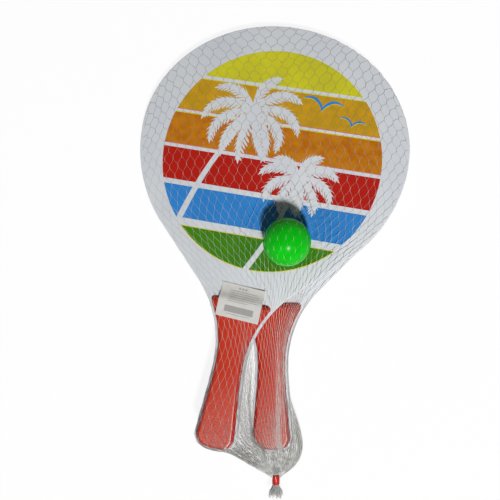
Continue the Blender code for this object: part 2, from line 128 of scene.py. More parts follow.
def newMaterial(name):
    # an empty material and its shader, ready for nodes
    material = bpy.data.materials.new(name)
    material.use_nodes = True
    tree = material.node_tree
    tree.nodes.clear()
    shader = addNode(tree, "ShaderNodeBsdfPrincipled")
    addNode(tree, "ShaderNodeOutputMaterial", {"Surface": shader.outputs[0]})
    return material, tree, shader


def selectOnly(piece):
    bpy.ops.object.select_all(action="DESELECT")
    piece.select_set(True)
    bpy.context.view_layer.objects.active = piece


def faceOutwards(piece):
    selectOnly(piece)
    bpy.ops.object.mode_set(mode="EDIT")
    bpy.ops.mesh.select_all(action="SELECT")
    bpy.ops.mesh.normals_make_consistent(inside=False)
    bpy.ops.object.mode_set(mode="OBJECT")


def shadeSmooth(piece, angle=35):
    selectOnly(piece)
    bpy.ops.object.shade_smooth_by_angle(angle=math.radians(angle))


def linkPiece(name, mesh):
    piece = bpy.data.objects.new(name, mesh)
    bpy.context.scene.collection.objects.link(piece)
    return piece


def meshPiece(name, points, faces, material=None):
    mesh = bpy.data.meshes.new(name)
    mesh.from_pydata([tuple(p) for p in points], [], faces)
    mesh.update()
    if material:
        mesh.materials.append(material)
    return linkPiece(name, mesh)


def joinPieces(pieces, name):
    bpy.ops.object.select_all(action="DESELECT")
    for piece in pieces:
        piece.select_set(True)
    bpy.context.view_layer.objects.active = pieces[0]
    bpy.ops.object.join()
    joined = bpy.context.object
    joined.name = joined.data.name = name
    return joined


def handIn(piece, node):
    # the piece rides on the one body and stands for its CAD node
    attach(piece, "root")
    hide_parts(node)


# Where the paddles lie: the sizes of the packing in the CAD source

packing = {
    "headRise": 106.4 * mm,       # head's centre to its flattened top
    "paddleLength": 380 * mm,
    "gripLength": 132.4 * mm,
    "gripMargin": 2.3 * mm,       # bare board round the grip
    "gripStep": 4.8 * mm,         # height of a grip over the board
    "rimParting": 0.4527 * mm,    # extra gap between the boards at the far rim
    "fan": 10.67,                 # degrees
    "fanPivotDrop": 5 * mm,
    "boardThickness": 5 * mm,
    "ballPlace": (32.0 * mm, -81.1 * mm),
    "ballHeight": 23.8 * mm,      # ball's centre over the board's middle plane
}
halfBoard = packing["boardThickness"] / 2
gripTop = packing["headRise"] - packing["paddleLength"] + packing["gripMargin"] + packing["gripLength"]


def middleOf(node):
    low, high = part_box(node)
    return (low + high) / 2


def packPaddles():
    # each paddle rests on its head's far rim and on the upper end of a grip
    span = packing["headRise"] - gripTop
    rearTilt = math.atan(packing["gripStep"] / span)
    frontTilt = rearTilt + math.atan(2 * packing["gripStep"] / span)
    rim = Vector((0, packing["headRise"], 0))
    pivot = Vector((0, -packing["fanPivotDrop"], 0))
    fan = (Matrix.Translation(pivot) @ Matrix.Rotation(-math.radians(packing["fan"]), 4, "Z")
           @ Matrix.Translation(-pivot))
    rear = Matrix.Rotation(-rearTilt, 4, "X")
    lift = packing["boardThickness"] + packing["rimParting"]
    front = (rear @ Matrix.Translation((0, 0, lift)) @ Matrix.Translation(rim)
             @ Matrix.Rotation(rearTilt - frontTilt, 4, "X") @ Matrix.Translation(-rim) @ fan)
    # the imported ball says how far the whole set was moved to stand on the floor
    shift = middleOf("ball") - front @ Vector((*packing["ballPlace"], packing["ballHeight"]))
    move = Matrix.Translation(shift)
    return move @ rear, move @ front


rearPlace, frontPlace = packPaddles()
places = {"rear": rearPlace, "front": frontPlace}


# Camera at the photograph's angle, and plain soft light from the handles' side

cameraView = {
    "place": (77.40 * mm, 33.08 * mm, 654.45 * mm),
    "turn": (-1.8442, 8.5760, -0.1409),     # degrees
    "lens": 52.03,
    "sensor": 36.0,
}
lightSetup = {
    "aim": (0, 30 * mm, 20 * mm),
    "keyFrom": (0.200, -0.475, 0.857),      # direction from the set to the lamp
    "keyDistance": 5.0,
    "keySize": 0.56,
    "keyPower": 266.0,
    "fillStrength": 0.075,
}
floorSetup = {
    "size": 6.0,
    "shadowShare": 0.10,                    # how much of a real floor the camera sees
}


def makeCamera():
    data = bpy.data.cameras.new("photoCamera")
    data.lens = cameraView["lens"]
    data.sensor_width = cameraView["sensor"]
    camera = linkPiece("photoCamera", data)
    camera.location = cameraView["place"]
    camera.rotation_euler = [math.radians(a) for a in cameraView["turn"]]
    bpy.context.scene.camera = camera


def seenRays(tree):
    # 1 for the rays that show the white surroundings
    path = addNode(tree, "ShaderNodeLightPath")
    rays = [path.outputs[name] for name in ("Is Camera Ray", "Is Glossy Ray", "Is Transmission Ray")]
    return calc(tree, "MINIMUM", calc(tree, "ADD", *rays), 1.0)


def makeLight():
    data = bpy.data.lights.new("keyLamp", "AREA")
    data.shape = "DISK"
    data.size = lightSetup["keySize"]
    data.energy = lightSetup["keyPower"]
    lamp = linkPiece("keyLamp", data)
    way = Vector(lightSetup["keyFrom"]).normalized()
    lamp.location = Vector(lightSetup["aim"]) + way * lightSetup["keyDistance"]
    lamp.rotation_euler = way.to_track_quat("Z", "Y").to_euler()
    world = bpy.data.worlds.new("studioWorld")
    bpy.context.scene.world = world
    world.use_nodes = True
    tree = world.node_tree
    tree.nodes.clear()
    fill = addNode(tree, "ShaderNodeBackground", {0: "#FFFFFF", 1: lightSetup["fillStrength"]})
    seen = addNode(tree, "ShaderNodeBackground", {0: "#FFFFFF", 1: 1.0})
    both = addNode(tree, "ShaderNodeMixShader", {0: seenRays(tree), 1: fill.outputs[0], 2: seen.outputs[0]})
    addNode(tree, "ShaderNodeOutputWorld", {"Surface": both.outputs[0]})


def makeFloor():
    bpy.ops.object.select_all(action="DESELECT")
    bpy.ops.mesh.primitive_plane_add(size=floorSetup["size"])
    floor = bpy.context.object
    floor.name = "studioFloor"
    # matt paper that keeps only a soft shadow: the camera sees nearly plain white
    material, tree, shader = newMaterial("matt white studio paper")
    feed(tree, shader, {"Base Color": "#F4F4F4", "Roughness": 0.9, "Specular IOR Level": 0.1})
    white = addNode(tree, "ShaderNodeEmission", {0: "#FFFFFF", 1: 1.0})
    share = calc(tree, "MULTIPLY", seenRays(tree), 1 - floorSetup["shadowShare"])
    both = addNode(tree, "ShaderNodeMixShader", {0: share, 1: shader.outputs[0], 2: white.outputs[0]})
    output = next(n for n in tree.nodes if n.type == "OUTPUT_MATERIAL")
    feed(tree, output, {"Surface": both.outputs[0]})
    floor.data.materials.append(material)


makeCamera()
makeLight()
makeFloor()
print("stage: camera, lamp and floor made")


# Outlines in the paddle's own plane, head's centre at the origin, handle towards -Y

boardShape = {
    "headWidth": 240 * mm,
    "neckSlope": 45,              # degrees, straight shoulders
    "waistWidth": 29.2 * mm,
    "waistFromButt": 78.7 * mm,
    "handleArc": 240 * mm,
    "buttWidth": 38.6 * mm,
    "buttCorner": 13.3 * mm,
    "buttArc": 60 * mm,
    "edge": 0.8 * mm,             # rounding of the sanded and painted rim
    "edgeSegments": 3,
    "arcStep": 2.0,               # degrees between points
    "closest": 0.05 * mm,         # points nearer to each other than this are one
    "rearHead": 1.1 * mm,         # the rear head was sawn this much smaller, and hides behind the front one
    "rearFade": (-100 * mm, -50 * mm),
}
gripShape = {
    "corner": 3.5 * mm,
    "shoulder": 3.9 * mm,         # width and height of the rounded shoulder
    "segments": 8,
    "taper": 13 * mm,             # the grip thins out over this length towards the blade
    "taperCurve": 1.6,
    "end": 0.5,                   # share of its height at the end
}


def arcPoints(centre, radius, start, end):
    steps = max(1, math.ceil(abs(end - start) / math.radians(boardShape["arcStep"])))
    angles = [start + (end - start) * i / steps for i in range(steps + 1)]
    return [(centre[0] + radius * math.cos(a), centre[1] + radius * math.sin(a)) for a in angles]


def rightHalf(inset=0.0):
    # down the right side, from the top of the head to the middle of the butt
    halfHead = boardShape["headWidth"] / 2
    rise = packing["headRise"]
    butt = rise - packing["paddleLength"]
    waistY = butt + boardShape["waistFromButt"]
    halfWaist = boardShape["waistWidth"] / 2
    quarter = math.radians(90)
    steps = round(90 / boardShape["arcStep"])
    points = [((halfHead - inset) * math.cos(quarter * (1 - i / steps)),
               (rise - inset) * math.sin(quarter * (1 - i / steps))) for i in range(steps)]
    slope = math.radians(boardShape["neckSlope"])
    points += arcPoints((0, 0), halfHead - inset, 0, -slope)
    neckRadius = (halfWaist * math.cos(slope) - waistY * math.sin(slope) - halfHead) / (1 - math.cos(slope))
    neckCentre = (halfWaist + neckRadius, waistY)
    points += arcPoints(neckCentre, neckRadius + inset, math.pi - slope, math.pi)
    sideArc = boardShape["handleArc"]
    sideCentre = (halfWaist + sideArc, waistY)
    corner = boardShape["buttCorner"]
    buttArc = boardShape["buttArc"]
    cornerX = boardShape["buttWidth"] / 2 - corner
    cornerY = butt + buttArc - math.sqrt((buttArc - corner) ** 2 - cornerX ** 2)
    across, along = sideCentre[0] - cornerX, sideCentre[1] - cornerY
    flare = math.atan2(along, across) + math.asin((sideArc + corner) / math.hypot(across, along)) - quarter
    points += arcPoints(sideCentre, sideArc + inset, math.pi, math.pi + flare)[1:]
    cornerEnd = math.atan2(cornerY - (butt + buttArc), cornerX)
    points += arcPoints((cornerX, cornerY), corner - inset, flare, cornerEnd)
    points += arcPoints((0, butt + buttArc), buttArc - inset, cornerEnd, -quarter)[1:]
    return points


def bothHalves(half):
    closed = half + [(-x, y) for x, y in reversed(half) if abs(x) > 1e-6]
    kept = [closed[0]]
    for point in closed[1:]:
        if math.dist(point, kept[-1]) > boardShape["closest"]:
            kept.append(point)
    return kept


def boardOutline(which):
    outline = bothHalves(rightHalf())
    if which == "rear":
        part = [boardShape["rearHead"] / math.hypot(x, y) * float(smooth(y, *boardShape["rearFade"]))
                for x, y in outline]
        outline = [(x * (1 - p), y * (1 - p)) for (x, y), p in zip(outline, part)]
    return outline


def gripOutline():
    # the board's outline drawn in by the margin, cut straight across at the top with rounded corners
    half = rightHalf(packing["gripMargin"])
    below = [p for p in half if p[1] < gripTop]
    above = half[half.index(below[0]) - 1]
    share = (gripTop - below[0][1]) / (above[1] - below[0][1])
    corner = (below[0][0] + (above[0] - below[0][0]) * share, gripTop)
    side = Vector((below[0][0] - corner[0], below[0][1] - corner[1])).normalized()
    radius = gripShape["corner"]
    opening = math.pi - math.acos(-side.x)
    reach = radius / math.tan((math.pi - opening) / 2)
    centre = (corner[0] - reach, gripTop - radius)
    below = [p for p in below if p[1] < corner[1] + side.y * reach]
    rounded = arcPoints(centre, radius, math.radians(90), math.atan2(side.x, -side.y))
    return bothHalves([(0.0, gripTop)] + rounded + below)


def plate(name, outline, low, high, material):
    # a filled circle moved onto the outline, then extruded to its thickness
    bpy.ops.object.select_all(action="DESELECT")
    bpy.ops.mesh.primitive_circle_add(vertices=len(outline), fill_type="NGON")
    piece = bpy.context.object
    piece.name = piece.data.name = name
    for vertex, (x, y) in zip(piece.data.vertices, outline[::-1]):
        vertex.co = (x, y, low)
    bpy.ops.object.mode_set(mode="EDIT")
    bpy.ops.mesh.select_all(action="SELECT")
    bpy.ops.mesh.extrude_region_move(TRANSFORM_OT_translate={"value": (0, 0, high - low)})
    bpy.ops.object.mode_set(mode="OBJECT")
    faceOutwards(piece)
    piece.data.materials.append(material)
    return piece


def roundRim(piece, height, width, segments):
    # bevel the rim edges that lie at this height in the paddle's plane
    selectOnly(piece)
    bpy.ops.object.mode_set(mode="EDIT")
    bpy.ops.mesh.select_mode(type="EDGE")
    work = bmesh.from_edit_mesh(piece.data)
    for face in work.faces:
        face.select = False
    for edge in work.edges:
        edge.select = all(abs(v.co.z - height) < 1e-6 for v in edge.verts)
    bmesh.update_edit_mesh(piece.data)
    bpy.ops.mesh.bevel(offset=width, segments=segments, profile=0.5, affect="EDGES", clamp_overlap=False)
    bpy.ops.object.mode_set(mode="OBJECT")


# Materials of the paddles

def makeLacquer():
    # white lacquer sprayed on fibreboard: cool white, faint orange peel, soft broad gloss
    material, tree, shader = newMaterial("white lacquered fibreboard")
    cloud = noise(tree, 40 * mm, 3)
    feed(tree, shader, {
        "Base Color": ramp(tree, cloud, (0.35, "#C7CBD0"), (0.65, "#CED1D4")),
        "Roughness": mapped(tree, cloud, 0, 1, 0.34, 0.44),
        "Specular IOR Level": 0.18,
        "Normal": relief(tree, noise(tree, 1.6 * mm, 2), 0.05, 0.1 * mm),
    })
    return material


def makeInk(name, colour, mottle, patch):
    # screen-printed ink: flat colour with small cloudy patches and a fine dotted grain
    material, tree, shader = newMaterial(name)
    tone = ramp(tree, noise(tree, patch, 4, 0.62), (0.36, mottle), (0.62, colour))
    grain = noise(tree, 0.7 * mm, 1)
    feed(tree, shader, {
        "Base Color": scaled(tree, tone, mapped(tree, grain, 0.3, 0.7, 0.93, 1.05)),
        "Roughness": 0.42,
        "Specular IOR Level": 0.09,
        "Normal": relief(tree, grain, 0.06, 0.05 * mm),
    })
    return material


def makeGripPlastic():
    # red moulded polypropylene: a grained plateau with pale specks that grow towards the butt, a clean glossy
    # shoulder, and a painted highlight line down its right side
    material, tree, shader = newMaterial("red moulded polypropylene")
    facing = addNode(tree, "ShaderNodeNewGeometry").outputs["Normal"]
    sideways, _, upwards = addNode(tree, "ShaderNodeSeparateXYZ", {0: facing}).outputs
    along = addNode(tree, "ShaderNodeSeparateXYZ", {0: objectPlace(tree)}).outputs[1]
    plateau = mapped(tree, upwards, 0.90, 0.99)
    toButt = mapped(tree, along, -95 * mm, -160 * mm)
    grain = noise(tree, 0.9 * mm, 2)
    # pale specks over the plateau, more of them towards the butt
    specks = calc(tree, "MULTIPLY", mapped(tree, grain, 0.44, 0.62, 0.10, 0.62), plateau, toButt)
    # a painted highlight line runs down the right shoulder, where it starts to turn away
    rises, falls = mapped(tree, sideways, 0.14, 0.22), mapped(tree, sideways, 0.28, 0.36, 1, 0)
    shoulderHighlight = calc(tree, "MULTIPLY", rises, falls, toButt)
    red = blend(tree, plateau, "#AC1E0A", "#B72A06")
    grained = scaled(tree, red, mapped(tree, grain, 0.3, 0.7, 0.88, 1.12))
    paleSpecked = blend(tree, specks, grained, "#D08C82")
    feed(tree, shader, {
        "Base Color": blend(tree, shoulderHighlight, paleSpecked, "#F0C0B4"),
        "Roughness": mapped(tree, plateau, 0, 1, 0.27, 0.52),
        "Specular IOR Level": 0.20,
        "Normal": relief(tree, grain, 0.35, 0.12 * mm),
    })
    return material


# full colour, its mottled tone and the size of the mottling
inkColours = {
    "yellow": ("#C6C228", "#B9B42A", 30 * mm),
    "gold": ("#C4941C", "#B08A1A", 9 * mm),
    "orange": ("#BC7811", "#AC600B", 9 * mm),
    "red": ("#AE1C10", "#A61A0F", 20 * mm),
    "blue": ("#2F80C8", "#2C78BE", 30 * mm),
    "green": ("#3D7C0A", "#377209", 20 * mm),
    "rimYellow": ("#CFC21F", "#C8BA1C", 10 * mm),
    "rimPink": ("#D06A78", "#C86474", 10 * mm),
}
lacquer = makeLacquer()
gripPlastic = makeGripPlastic()
inks = {key: makeInk(key + " screen-printed ink", *value) for key, value in inkColours.items()}


def makeBoard(which):
    board = plate(which + "Board", boardOutline(which), -halfBoard, halfBoard, lacquer)
    for height in (-halfBoard, halfBoard):
        roundRim(board, height, boardShape["edge"], boardShape["edgeSegments"])
    board.data.transform(places[which])
    shadeSmooth(board)
    handIn(board, which + "_paddle_board")
    return board


def makeGrip(which, side, sign):
    low, high = halfBoard, halfBoard + packing["gripStep"]
    grip = plate(f"{which}Grip{side}", gripOutline(), low, high, gripPlastic)
    roundRim(grip, high, gripShape["shoulder"], gripShape["segments"])
    for vertex in grip.data.vertices:
        near = max(0.0, 1 - (gripTop - vertex.co.y) / gripShape["taper"]) ** gripShape["taperCurve"]
        vertex.co.z = low + (vertex.co.z - low) * (1 - (1 - gripShape["end"]) * near)
    if sign < 0:
        grip.data.transform(Matrix.Scale(-1, 4, (0, 0, 1)))
        grip.data.flip_normals()
    grip.data.transform(places[which])
    shadeSmooth(grip)
    handIn(grip, f"{which}_paddle_grip_{side.lower()}")
    return grip


# The print: a sun of six bands, palms left bare, two gulls. All of it is drawn by formula.
# Its places and lengths are in mm from the head's centre, its angles in degrees.

sunShape = {
    "radius": 97.5,
    "centre": (1.2, -13.15),
    "turn": 0.85,
    "arcStep": 2.0,
    "poleGap": 0.02,
    "gaps": ((65.0, 3.6), (32.8, 3.6), (1.2, 3.7), (-31.5, 4.6), (-65.8, 7.2)),   # height and width
    "inks": ("yellow", "gold", "orange", "red", "blue", "green"),
    "film": 0.09 * mm,
    "rimFilm": (0.9, 0.85),       # share of its height that the yellow and the pink rims reach
    "gullFilm": (0.5, 1.35, 1.15),   # a gull's underside and top, and the top of its rim
    # colours printed out of line: how far they show above, below and beside a band, and lie under it
    "yellowRim": 0.75,
    "pinkRim": 0.6,
    "tucked": 0.1,
    "greenRim": (0.65, 1.0, 0.75),
    "gullRim": (0.35, -0.55),
    "cutter": (1 * mm, 0.5 * mm),   # half heights of the bare shapes and of the clean body made of them
    "cutterWider": 1,             # than the sun
}
palms = (
    {"crown": (-21.0, 28.0), "foot": (-70.0, -77.0), "bow": -5.0, "trunk": (1.9, 2.7), "reach": 56.0,
     # each frond's direction, share of the reach and droop
     "fronds": ((97, 0.72, 0.8), (62, 0.86, 0.95), (28, 0.94, 1.05), (-6, 0.86, 1.0), (-42, 0.84, 0.62),
                (-82, 0.80, -0.30), (118, 0.80, -0.85), (150, 0.98, -1.0), (180, 0.98, -0.95),
                (-146, 0.90, -0.6), (-114, 0.84, -0.35))},
    {"crown": (29.0, -24.0), "foot": (-3.0, -113.0), "bow": 4.0, "trunk": (1.7, 2.5), "reach": 40.0,
     "fronds": ((88, 0.74, 0.8), (50, 0.98, 0.95), (14, 1.02, 0.95), (-24, 0.92, 0.75), (-66, 0.80, 0.35),
                (-104, 0.80, -0.4), (-142, 0.90, -0.7), (178, 1.02, -0.95), (138, 0.98, -0.95),
                (110, 0.74, -0.8))},
)
frondLook = {
    "pitch": 4.1,                 # between leaflets
    "bend": (1.9, 0.4, 1.2),      # of the spine: in all, at the crown and added towards the tip
    "body": (2.5, 3.0),           # above and below the spine
    "fullness": (0.07, 0.90, 0.6),   # along the spine: where its sine starts, how far it runs, its power
    "leaflet": 7.6,
    "uneven": (0.78, 1.12),
    "lean": (62, 40),             # of the leaflets, first and last
    "teeth": ((0.06, 0.68), (0.34, 1.0), (0.66, 0.58)),   # place within the pitch and share of the length
    "fill": 0.78,                 # share of the pitch that a leaflet's foot takes
    "tuft": 4.6,
    "tuftUneven": (0.7, 1.2),
    "tuftLean": 22,
    "tuftPlace": (0.5, 0.6),      # its point and its end within the pitch
    "tuftsFrom": 0.3,             # share of the spine
    "tip": 3.5,
    "seed": 7,
}
gulls = ({"centre": (38.0, 41.0), "span": 38.0, "lift": 7.5, "tilt": -4},
         {"centre": (66.0, 30.0), "span": 25.0, "lift": 4.8, "tilt": -6})
gullLook = {
    "reach": 1.05,                # the wing's arch is complete just before its tip
    "curve": 0.8,
    "arch": 0.78,                 # share of a half wave
    "body": 0.52,                 # thickness at the middle, as a share of the lift
    "taper": 0.7,
}


def polar(x, y, way, length):
    return x + math.cos(way) * length, y + math.sin(way) * length


def turned(points, degrees, centre):
    c, s = math.cos(math.radians(degrees)), math.sin(math.radians(degrees))
    return [(centre[0] + x * c - y * s, centre[1] + x * s + y * c) for x, y in points]


def frondOutline(crown, start, reach, droop, rng):
    # a broad leaf on a spine that bends down: smooth above, a comb of long leaflets below
    steps = max(10, round(reach / frondLook["pitch"]))
    bend, early, late = frondLook["bend"]
    x, y = crown
    heading = math.radians(start)
    spine = []
    for i in range(steps + 1):
        spine.append((x, y, heading))
        heading -= droop * bend / steps * (early + late * i / steps)
        x, y = polar(x, y, heading, reach / steps)
    down = -1 if droop > 0 else 1
    above, below = frondLook["body"]
    firstLean, lastLean = frondLook["lean"]
    slim, swell, power = frondLook["fullness"]
    point, end = frondLook["tuftPlace"]
    upper, lower = [], []
    for i in range(steps):
        (x, y, way), (nextX, nextY, _) = spine[i], spine[i + 1]
        alongX, alongY = nextX - x, nextY - y
        t = i / steps
        full = math.sin(math.pi * (slim + swell * t)) ** power
        normal = way + down * math.pi / 2
        lean = way + down * math.radians(firstLean + (lastLean - firstLean) * t)
        tooth = frondLook["leaflet"] * full * rng.uniform(*frondLook["uneven"])
        footX, footY = polar(x, y, normal, below * full)
        lower.append((footX, footY))
        lower += [polar(footX + alongX * share, footY + alongY * share, lean, tooth * size)
                  for share, size in frondLook["teeth"]]
        lower.append((footX + alongX * frondLook["fill"], footY + alongY * frondLook["fill"]))
        backX, backY = polar(x, y, normal, -above * full)
        upper.append((backX, backY))
        if t > frondLook["tuftsFrom"]:
            tuft = frondLook["tuft"] * full * rng.uniform(*frondLook["tuftUneven"])
            lean = way - down * math.radians(frondLook["tuftLean"])
            upper.append(polar(backX + alongX * point, backY + alongY * point, lean, tuft))
            upper.append((backX + alongX * end, backY + alongY * end))
    return upper + [polar(*spine[-1], frondLook["tip"])] + lower[::-1]


def trunkOutline(palm):
    (x0, y0), (x1, y1) = palm["crown"], palm["foot"]
    thin, thick = palm["trunk"]
    way = math.atan2(y1 - y0, x1 - x0) + math.pi / 2
    left, right = [], []
    for t in np.linspace(0, 1, 13):
        x, y = polar(x0 + (x1 - x0) * t, y0 + (y1 - y0) * t, way, palm["bow"] * math.sin(math.pi * t))
        left.append(polar(x, y, way, thin + (thick - thin) * t))
        right.append(polar(x, y, way, -thin - (thick - thin) * t))
    return left + right[::-1]


def gullOutline(gull):
    # two raised wings that meet in a point
    upper, lower = [], []
    for t in np.linspace(-1, 1, 29):
        wing = abs(t)
        arch = min(1, wing * gullLook["reach"]) ** gullLook["curve"] * gullLook["arch"]
        rise = math.sin(math.pi * arch) * gull["lift"]
        x = t * gull["span"] / 2
        upper.append((x, rise))
        lower.append((x, rise - gull["lift"] * gullLook["body"] * (1 - wing) ** gullLook["taper"]))
    return turned(upper + lower[::-1][1:-1], gull["tilt"], gull["centre"])


def bandOutline(low, high, wider=0.0):
    # the part of the sun between two heights, measured from the sun's centre; it ends just short of
    # the poles, where both its sides would have the same point
    radius = sunShape["radius"] + wider
    pole = radius - sunShape["poleGap"]
    start, end = math.asin(max(low, -pole) / radius), math.asin(min(high, pole) / radius)
    steps = max(3, math.ceil((end - start) / math.radians(sunShape["arcStep"])))
    right = [polar(0, 0, start + (end - start) * i / steps, radius) for i in range(steps + 1)]
    return turned(right + [(-x, y) for x, y in right[::-1]], sunShape["turn"], sunShape["centre"])


def prism(name, outline, low, high, material=None):
    # an outline in mm as a closed body
    area = sum(a[0] * b[1] - b[0] * a[1] for a, b in zip(outline, outline[1:] + outline[:1]))
    if area < 0:
        outline = outline[::-1]
    count = len(outline)
    points = [(x * mm, y * mm, z) for z in (low, high) for x, y in outline]
    faces = [tuple(range(count))[::-1], tuple(range(count, 2 * count))]
    faces += [(i, (i + 1) % count, (i + 1) % count + count, i + count) for i in range(count)]
    return meshPiece(name, points, faces, material)


def cutWith(piece, tool, operation, crossing):
    cut = piece.modifiers.new("bare", "BOOLEAN")
    cut.operation = operation
    cut.object = tool
    cut.solver = "EXACT"
    cut.use_self = crossing
    selectOnly(piece)
    bpy.ops.object.modifier_apply(modifier=cut.name)


def bandLayers():
    # every band, with the colours that show beside some of them
    edges = [sunShape["radius"]]
    for height, width in sunShape["gaps"]:
        edges += [height + width / 2, height - width / 2]
    edges.append(-sunShape["radius"])
    tucked, film, pink = sunShape["tucked"], sunShape["film"], sunShape["pinkRim"]
    yellowFilm, pinkFilm = (film * share for share in sunShape["rimFilm"])
    layers = []
    for ink, top, bottom in zip(sunShape["inks"], edges[::2], edges[1::2]):
        layers.append((ink, bandOutline(bottom, top), film))
        if ink in ("gold", "orange"):
            layers.append(("rimYellow", bandOutline(top - tucked, top + sunShape["yellowRim"]), yellowFilm))
            layers.append(("rimPink", bandOutline(bottom - pink, bottom + tucked), pinkFilm))
        if ink == "green":
            above, below, beside = sunShape["greenRim"]
            layers.append(("rimYellow", bandOutline(bottom - below, top + above, beside), yellowFilm))
    return layers


def makePrint():
    # bands first, then everything that stays bare is cut out of them
    pieces = [prism("ink", outline, 0.0, high, inks[ink]) for ink, outline, high in bandLayers()]
    rng = random.Random(frondLook["seed"])
    shapes = []
    for palm in palms:
        shapes.append(trunkOutline(palm))
        shapes += [frondOutline(palm["crown"], start, palm["reach"] * size, droop, rng)
                   for start, size, droop in palm["fronds"]]
    bare, clean = sunShape["cutter"]
    cutter = joinPieces([prism("bare", shape, -bare, bare) for shape in shapes], "bareShapes")
    # one clean body of all the bare shapes, as the fronds cross each other
    slab = prism("slab", bandOutline(-math.inf, math.inf, sunShape["cutterWider"]), -clean, clean)
    cutWith(slab, cutter, "INTERSECT", True)
    for piece in pieces:
        cutWith(piece, slab, "DIFFERENCE", False)
    for tool in (cutter, slab):
        bpy.data.objects.remove(tool)
    low, high, rim = (sunShape["film"] * share for share in sunShape["gullFilm"])
    for gull in gulls:
        outline = gullOutline(gull)
        pieces.append(prism("ink", outline, low, high, inks["blue"]))
        pieces.append(prism("ink", turned(outline, 0, sunShape["gullRim"]), low, rim, inks["rimYellow"]))
    return joinPieces(pieces, "sunPrint")


def placePrint(which, side, sign):
    name = f"{which}Print{side}"
    mesh = sunPrint.data.copy()
    mesh.name = name
    mesh.transform(Matrix.Translation((0, 0, halfBoard)))
    if sign < 0:
        mesh.transform(Matrix.Rotation(math.pi, 4, "Y"))
    mesh.transform(places[which])
    handIn(linkPiece(name, mesh), f"{which}_paddle_print_{side.lower()}")


sunPrint = makePrint()
print("stage: print drawn,", len(sunPrint.data.polygons), "faces")
paddles = []
for which in places:
    paddles.append(makeBoard(which))
    for side, sign in (("Front", 1), ("Back", -1)):
        paddles.append(makeGrip(which, side, sign))
        placePrint(which, side, sign)
bpy.data.objects.remove(sunPrint)
print("stage: paddles made")


# Ball

ballShape = {
    "radius": 20.5 * mm,
    "seamTurn": (62, 24),         # degrees about X, then Z
    "seamHeight": 0.10 * mm,
    "seamWidth": 0.5 * mm,
    "grid": (96, 64),
}


def makeBallRubber():
    # glossy moulded rubber: bright green, tight highlight, very fine orange peel
    material, tree, shader = newMaterial("glossy green moulded rubber")
    feed(tree, shader, {
        "Base Color": ramp(tree, noise(tree, 9 * mm, 2), (0.3, "#01B00A"), (0.7, "#03BE10")),
        "Roughness": 0.24,
        "Specular IOR Level": 0.08,
        "Normal": relief(tree, noise(tree, 1.1 * mm, 2), 0.10, 0.05 * mm),
    })
    return material


def makeBall():
    around, rings = ballShape["grid"]
    bpy.ops.object.select_all(action="DESELECT")
    bpy.ops.mesh.primitive_uv_sphere_add(segments=around, ring_count=rings, radius=ballShape["radius"])
    ball = bpy.context.object
    ball.name = "greenBall"
    # the mould's two halves meet in a thin raised seam round the middle
    for vertex in ball.data.vertices:
        away = abs(vertex.co.z) / ballShape["seamWidth"]
        vertex.co *= 1 + ballShape["seamHeight"] / ballShape["radius"] * math.exp(-away * away)
    aboutX, aboutZ = (math.radians(angle) for angle in ballShape["seamTurn"])
    turn = Matrix.Rotation(aboutZ, 4, "Z") @ Matrix.Rotation(aboutX, 4, "X")
    ball.data.transform(Matrix.Translation(middleOf("ball")) @ turn)
    ball.data.materials.append(makeBallRubber())
    ball.data.shade_smooth()
    handIn(ball, "ball")
    return ball


ball = makeBall()
print("stage: ball made")


# Net bag. Its columns are laid out flat on the front and the back, lifted onto taut height maps
# of the set and joined round the rim. The threads are knitted on them.

